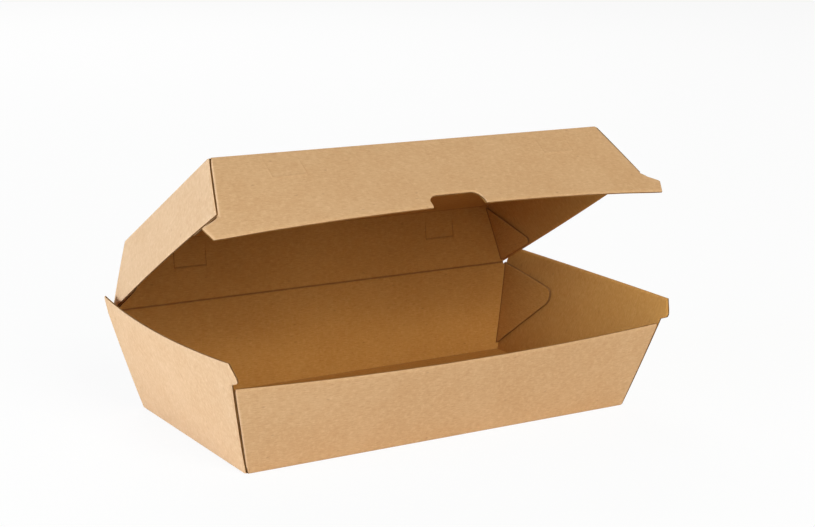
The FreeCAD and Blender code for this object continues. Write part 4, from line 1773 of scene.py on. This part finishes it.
@dataclass(frozen=True)
class KraftLiner:
    """Unbleached kraft linerboard, a machine-made paper that lies over a waved medium.

    Long fibres lie along the machine direction, the sheet is cloudy where fibres clump,
    and darker shives are caught in it. Its face is matt with a faint calendered sheen,
    and the flutes print through as a shallow wash-board. Lengths are in metres. A span
    is the stretch of a pattern over which its colour comes in, and a share is how far.
    """

    name: str = "kraft_liner"
    sheet: str = "#CDA377"
    fibre: str = "#B98C5E"
    pale_fibre: str = "#DDB88E"
    shive: str = "#8E6238"
    # Colour of the painted shade in the folds, by the tab roots, along the hinge slit and round the flaps
    crease_shade: str = "#6B421F"
    cloud_size: float = 0.018
    cloud_span: tuple[float, float] = (0.42, 0.7)
    cloud_share: float = 0.30
    mottle_size: float = 0.0016
    mottle_span: tuple[float, float] = (0.45, 0.72)
    mottle_share: float = 0.55
    fibre_length: float = 0.0032
    # Real fibres are about 0.03 mm wide, too fine to show, so they are ten times as coarse
    fibre_width: float = 0.00030
    fibre_span: tuple[float, float] = (0.45, 0.75)
    fibre_share: float = 0.75
    shive_spacing: float = 0.0045
    shive_span: tuple[float, float] = (0.02, 0.10)
    shive_share: float = 0.35
    shive_stretch: float = 0.45
    shive_turn: float = 0.3
    # Span and full share of the painted crease shade
    crease_shade_span: tuple[float, float] = (0.1, 0.9)
    crease_shade_share: float = 0.65
    roughness: float = 0.82
    roughness_swing: float = 0.07
    specular: float = 0.28
    bump_strength: float = 0.35
    flute_pitch: float = BOARD.flute_pitch * MM
    flute_height: float = 0.00003
    fibre_height: float = 0.00006

    def build(self) -> bpy.types.Material:
        """Makes the material: clouds, mottle, fibres and shives, then the painted shade in the creases.

        Returns:
            The material.
        """
        material, tree = new_material(self.name)
        sheet = add_node(tree, "ShaderNodeUVMap", uv_map="sheet").outputs[0]
        place = add_node(tree, "ShaderNodeTexCoord").outputs["Object"]
        cloud = add_node(
            tree,
            "ShaderNodeTexNoise",
            {"Vector": place, "Scale": 1 / self.cloud_size, "Detail": 4.0, "Roughness": 0.6},
        ).outputs["Fac"]
        mottle = add_node(
            tree,
            "ShaderNodeTexNoise",
            {"Vector": place, "Scale": 1 / self.mottle_size, "Detail": 2.0, "Roughness": 0.7},
        ).outputs["Fac"]
        fibres = self._fibres(tree, sheet)
        colour = linear(self.sheet)
        colour = self._mix(tree, cloud, self.cloud_span, colour, self.pale_fibre, self.cloud_share)
        colour = self._mix(tree, mottle, self.mottle_span, colour, self.pale_fibre, self.mottle_share)
        colour = self._mix(tree, fibres, self.fibre_span, colour, self.fibre, self.fibre_share)
        colour = add_node(
            tree,
            "ShaderNodeMix",
            {"Factor": self._shives(tree, sheet), 6: colour, 7: linear(self.shive)},
            data_type="RGBA",
        ).outputs[2]
        # Painted shade: the crease-shade strength that the mesh carries darkens the colour
        painted_shade = add_node(tree, "ShaderNodeAttribute", attribute_name="crease_shade").outputs["Fac"]
        colour = self._mix(tree, painted_shade, self.crease_shade_span, colour, self.crease_shade, self.crease_shade_share)
        rough = add_node(
            tree,
            "ShaderNodeMapRange",
            {
                "Value": fibres,
                "From Min": 0.3,
                "From Max": 0.7,
                "To Min": self.roughness - self.roughness_swing,
                "To Max": self.roughness + self.roughness_swing,
            },
        ).outputs[0]
        shader = add_node(
            tree,
            "ShaderNodeBsdfPrincipled",
            {
                "Base Color": colour,
                "Roughness": rough,
                "Specular IOR Level": self.specular,
                "Normal": self._relief(tree, sheet, fibres),
            },
        )
        add_node(tree, "ShaderNodeOutputMaterial", {"Surface": shader.outputs[0]})
        return material

    def _fibres(self, tree: Tree, sheet: Socket) -> Socket:
        """Draws the fibres: noise stretched along the flutes' own direction.

        Args:
            tree: Node tree.
            sheet: Flat place on the board.

        Returns:
            Strength of the fibres.
        """
        scale = (1 / self.fibre_length, 1 / self.fibre_width, 1.0)
        stretched = add_node(tree, "ShaderNodeMapping", {"Vector": sheet, "Scale": scale}).outputs[0]
        return add_node(
            tree,
            "ShaderNodeTexNoise",
            {"Vector": stretched, "Scale": 1.0, "Detail": 3.0, "Roughness": 0.65},
        ).outputs["Fac"]

    def _shives(self, tree: Tree, sheet: Socket) -> Socket:
        """Scatters the shives: the hearts of stretched cells, turned a little.

        Args:
            tree: Node tree.
            sheet: Flat place on the board.

        Returns:
            Share of the shives' colour.
        """
        scale = (self.shive_stretch / self.shive_spacing, 1 / self.shive_spacing, 1.0)
        turned = add_node(
            tree,
            "ShaderNodeMapping",
            {"Vector": sheet, "Scale": scale, "Rotation": (0.0, 0.0, self.shive_turn)},
        ).outputs[0]
        cells = add_node(tree, "ShaderNodeTexVoronoi", {"Vector": turned, "Scale": 1.0})
        low, high = self.shive_span
        return add_node(
            tree,
            "ShaderNodeMapRange",
            {
                "Value": cells.outputs["Distance"],
                "From Min": low,
                "From Max": high,
                "To Min": self.shive_share,
                "To Max": 0.0,
            },
        ).outputs[0]

    def _relief(self, tree: Tree, sheet: Socket, fibres: Socket) -> Socket:
        """Raises the flutes' wash-board, a sine across them, and the fibres on it.

        Args:
            tree: Node tree.
            sheet: Flat place on the board.
            fibres: Strength of the fibres.

        Returns:
            The surface's normal.
        """
        across = add_node(tree, "ShaderNodeSeparateXYZ", {0: sheet}).outputs[1]
        turn = 2 * math.pi / self.flute_pitch
        phase = add_node(tree, "ShaderNodeMath", {0: across, 1: turn}, operation="MULTIPLY").outputs[0]
        flutes = add_node(tree, "ShaderNodeMath", {0: phase}, operation="SINE").outputs[0]
        board = add_node(
            tree,
            "ShaderNodeBump",
            {"Height": flutes, "Strength": self.bump_strength, "Distance": self.flute_height},
        ).outputs[0]
        return add_node(
            tree,
            "ShaderNodeBump",
            {
                "Height": fibres,
                "Strength": self.bump_strength,
                "Distance": self.fibre_height,
                "Normal": board,
            },
        ).outputs[0]

    def _mix(
        self, tree: Tree, value: Socket, span: tuple[float, float], first: object, second: str, share: float
    ) -> Socket:
        """Mixes the second colour in where the value climbs through the span.

        Args:
            tree: Node tree.
            value: Pattern.
            span: Pattern values at which the mix starts and is full.
            first: Colour below the span.
            second: Hex code of the colour that is mixed in.
            share: Full share of the second colour.

        Returns:
            The mixed colour.
        """
        factor = add_node(
            tree,
            "ShaderNodeMapRange",
            {"Value": value, "From Min": span[0], "From Max": span[1], "To Max": share},
        ).outputs[0]
        return add_node(
            tree, "ShaderNodeMix", {"Factor": factor, 6: first, 7: linear(second)}, data_type="RGBA"
        ).outputs[2]


@dataclass(frozen=True)
class CutBoard:
    """Raw cut through the board: crushed and torn fibres of the waved medium.

    Recycled fluting paper is greyer and darker than the liners and drinks the light.
    Its colour is darker still, as painted shade on the thin cut edges.
    Lengths are in metres.
    """

    name: str = "cut_fluting"
    # The fluting's own brown, darkened further as painted shade on the cut edges
    paper_and_shade: str = "#8C5D30"
    torn: str = "#B58752"
    tear_size: float = 0.0006
    tear_height: float = 0.0001
    tear_strength: float = 0.5
    roughness: float = 0.95
    specular: float = 0.1

    def build(self) -> bpy.types.Material:
        """Makes the material: noise as fine as a torn fibre mixes its two papers.

        Returns:
            The material.
        """
        material, tree = new_material(self.name)
        place = add_node(tree, "ShaderNodeTexCoord").outputs["Object"]
        torn = add_node(
            tree, "ShaderNodeTexNoise", {"Vector": place, "Scale": 1 / self.tear_size, "Detail": 3.0}
        ).outputs["Fac"]
        colour = add_node(
            tree,
            "ShaderNodeMix",
            {"Factor": torn, 6: linear(self.paper_and_shade), 7: linear(self.torn)},
            data_type="RGBA",
        ).outputs[2]
        bump = add_node(
            tree,
            "ShaderNodeBump",
            {"Height": torn, "Strength": self.tear_strength, "Distance": self.tear_height},
        ).outputs[0]
        shader = add_node(
            tree,
            "ShaderNodeBsdfPrincipled",
            {
                "Base Color": colour,
                "Roughness": self.roughness,
                "Specular IOR Level": self.specular,
                "Normal": bump,
            },
        )
        add_node(tree, "ShaderNodeOutputMaterial", {"Surface": shader.outputs[0]})
        return material


@dataclass(frozen=True)
class SoftLight:
    """A soft box that faces the box of board. Metres and watts."""

    name: str
    place: tuple[float, float, float]
    aim: tuple[float, float, float]
    width: float
    height: float
    power: float
    tint: str = "#FFFFFF"

    def build(self) -> None:
        """Hangs the light and aims it."""
        lamp = bpy.data.lights.new(self.name, "AREA")
        lamp.shape = "RECTANGLE"
        lamp.size = self.width
        lamp.size_y = self.height
        lamp.energy = self.power
        lamp.color = linear(self.tint)[:3]
        holder = bpy.data.objects.new(self.name, lamp)
        holder.location = self.place
        holder.rotation_euler = (Vector(self.aim) - Vector(self.place)).to_track_quat("-Z", "Y").to_euler()
        bpy.context.scene.collection.objects.link(holder)


@dataclass
class Studio:
    """White table-top studio with the photograph's camera.

    Angles are in degrees. The camera's place is its offsets in the picture plane and its
    distance, in millimetres. The table's size is in metres, and its white share is how
    much of it the camera sees as plain white over its shade.
    """

    azimuth: float = -32.564
    elevation: float = 13.382
    roll: float = 1.383
    lens: float = 80.0
    sensor: float = 36.0
    sideways: float = 9.266
    raised: float = 60.846
    distance: float = 773.947
    clip_start: float = 0.05
    floor_size: float = 12.0
    floor_steps: int = 9
    floor_paint: str = "#F6F6F5"
    floor_white_share: float = 0.92
    fill: float = 0.08
    lights: tuple[SoftLight, ...] = (
        SoftLight("key_light", (-1.5, 0.1, 0.22), (0.0, 0.0, 0.05), 0.8, 0.4, 28.5, "#D4E6FF"),
        SoftLight("front_light", (0.0, -1.4, 0.75), (0.0, 0.0, 0.05), 0.7, 0.7, 11.2),
        SoftLight("high_light", (0.0, -1.1, 1.2), (0.0, 0.0, 0.05), 0.7, 0.7, 9.0, "#FFFFEA"),
        SoftLight("back_light", (0.4, 1.5, 1.1), (0.0, 0.0, 0.08), 1.0, 1.0, 14.0),
    )

    def build_camera(self) -> None:
        """Places the camera from its angles, its distance and its offsets in the picture plane."""
        az, el, roll = (math.radians(angle) for angle in (self.azimuth, self.elevation, self.roll))
        right = np.array([math.cos(az), math.sin(az), 0.0])
        back = np.array([math.sin(az) * math.cos(el), -math.cos(az) * math.cos(el), math.sin(el)])
        up = np.cross(back, right)
        across = math.cos(roll) * right + math.sin(roll) * up
        upward = -math.sin(roll) * right + math.cos(roll) * up
        place = (self.sideways * across + self.raised * upward + self.distance * back) * MM
        camera = bpy.data.objects.new("camera", bpy.data.cameras.new("camera"))
        camera.data.lens = self.lens
        camera.data.sensor_width = self.sensor
        camera.data.clip_start = self.clip_start
        frame_of_view = np.eye(4)
        frame_of_view[:3, :3] = np.stack([across, upward, back], axis=1)
        frame_of_view[:3, 3] = place
        camera.matrix_world = Matrix(frame_of_view.tolist())
        bpy.context.scene.collection.objects.link(camera)
        bpy.context.scene.camera = camera

    def white_for_camera(
        self, tree: Tree, plain: Socket, kind: str, share: float
    ) -> Socket:
        """Shows white to the camera and to glossy rays, and the plain shader to all others.

        Args:
            tree: Node tree.
            plain: Shader that the light sees.
            kind: Node type of the white shader.
            share: How much of the white the camera sees.

        Returns:
            The mixed shader.
        """
        path = add_node(tree, "ShaderNodeLightPath")
        rays = {0: path.outputs["Is Camera Ray"], 1: path.outputs["Is Glossy Ray"]}
        seen = add_node(tree, "ShaderNodeMath", rays, operation="MAXIMUM").outputs[0]
        factor = add_node(tree, "ShaderNodeMath", {0: seen, 1: share}, operation="MULTIPLY").outputs[0]
        white = add_node(tree, kind, {"Color": linear("#FFFFFF"), "Strength": 1.0}).outputs[0]
        return add_node(tree, "ShaderNodeMixShader", {0: factor, 1: plain, 2: white}).outputs[0]

    def build_floor(self) -> Piece:
        """Lays the floor: a flat grid, matt white, that keeps the box's shadow.

        Returns:
            The floor.
        """
        side = np.linspace(-1, 1, self.floor_steps) * self.floor_size / 2
        x, y = np.meshgrid(side, side)
        points = np.stack([x, y, 0 * x], axis=-1).reshape(-1, 3)
        index = np.arange(len(points)).reshape(x.shape)
        mesh = bpy.data.meshes.new("floor")
        mesh.from_pydata(points.tolist(), [], grid_faces(index).tolist())
        floor = bpy.data.objects.new("floor", mesh)
        bpy.context.scene.collection.objects.link(floor)
        material, tree = new_material("white_table")
        paint = add_node(tree, "ShaderNodeBsdfDiffuse", {"Color": linear(self.floor_paint)}).outputs[0]
        seen = self.white_for_camera(tree, paint, "ShaderNodeEmission", self.floor_white_share)
        add_node(tree, "ShaderNodeOutputMaterial", {"Surface": seen})
        mesh.materials.append(material)
        return floor

    def build_world(self) -> None:
        """Gives an even pale surround that the camera sees as white."""
        world = bpy.data.worlds.new("surround")
        world.use_nodes = True
        tree = world.node_tree
        tree.nodes.clear()
        light = {"Color": linear("#FFFFFF"), "Strength": self.fill}
        plain = add_node(tree, "ShaderNodeBackground", light).outputs[0]
        seen = self.white_for_camera(tree, plain, "ShaderNodeBackground", 1.0)
        add_node(tree, "ShaderNodeOutputWorld", {"Surface": seen})
        bpy.context.scene.world = world

    def build(self) -> None:
        """Builds floor, surround, lights and camera."""
        self.build_floor()
        self.build_world()
        for light in self.lights:
            light.build()
        self.build_camera()
        bpy.context.scene.view_settings.view_transform = "Standard"


def main() -> None:
    """Builds the studio, the tray, the lid and the crease, in this order."""
    logging.basicConfig(level=logging.INFO, format="%(name)s: %(message)s")
    Studio().build()
    # The inner liner's darker, redder colours are painted shade of the box's inside
    inner = KraftLiner(
        name="kraft_inner_liner_shaded", sheet="#BB853E", fibre="#A4692F", pale_fibre="#C9964F", shive="#7A4E24"
    )
    finishes = [KraftLiner().build(), CutBoard().build(), inner.build()]
    Tray().build(finishes)
    Lid().build(finishes)
    HingeCrease().build(finishes)


if __name__ == "__main__":
    main()
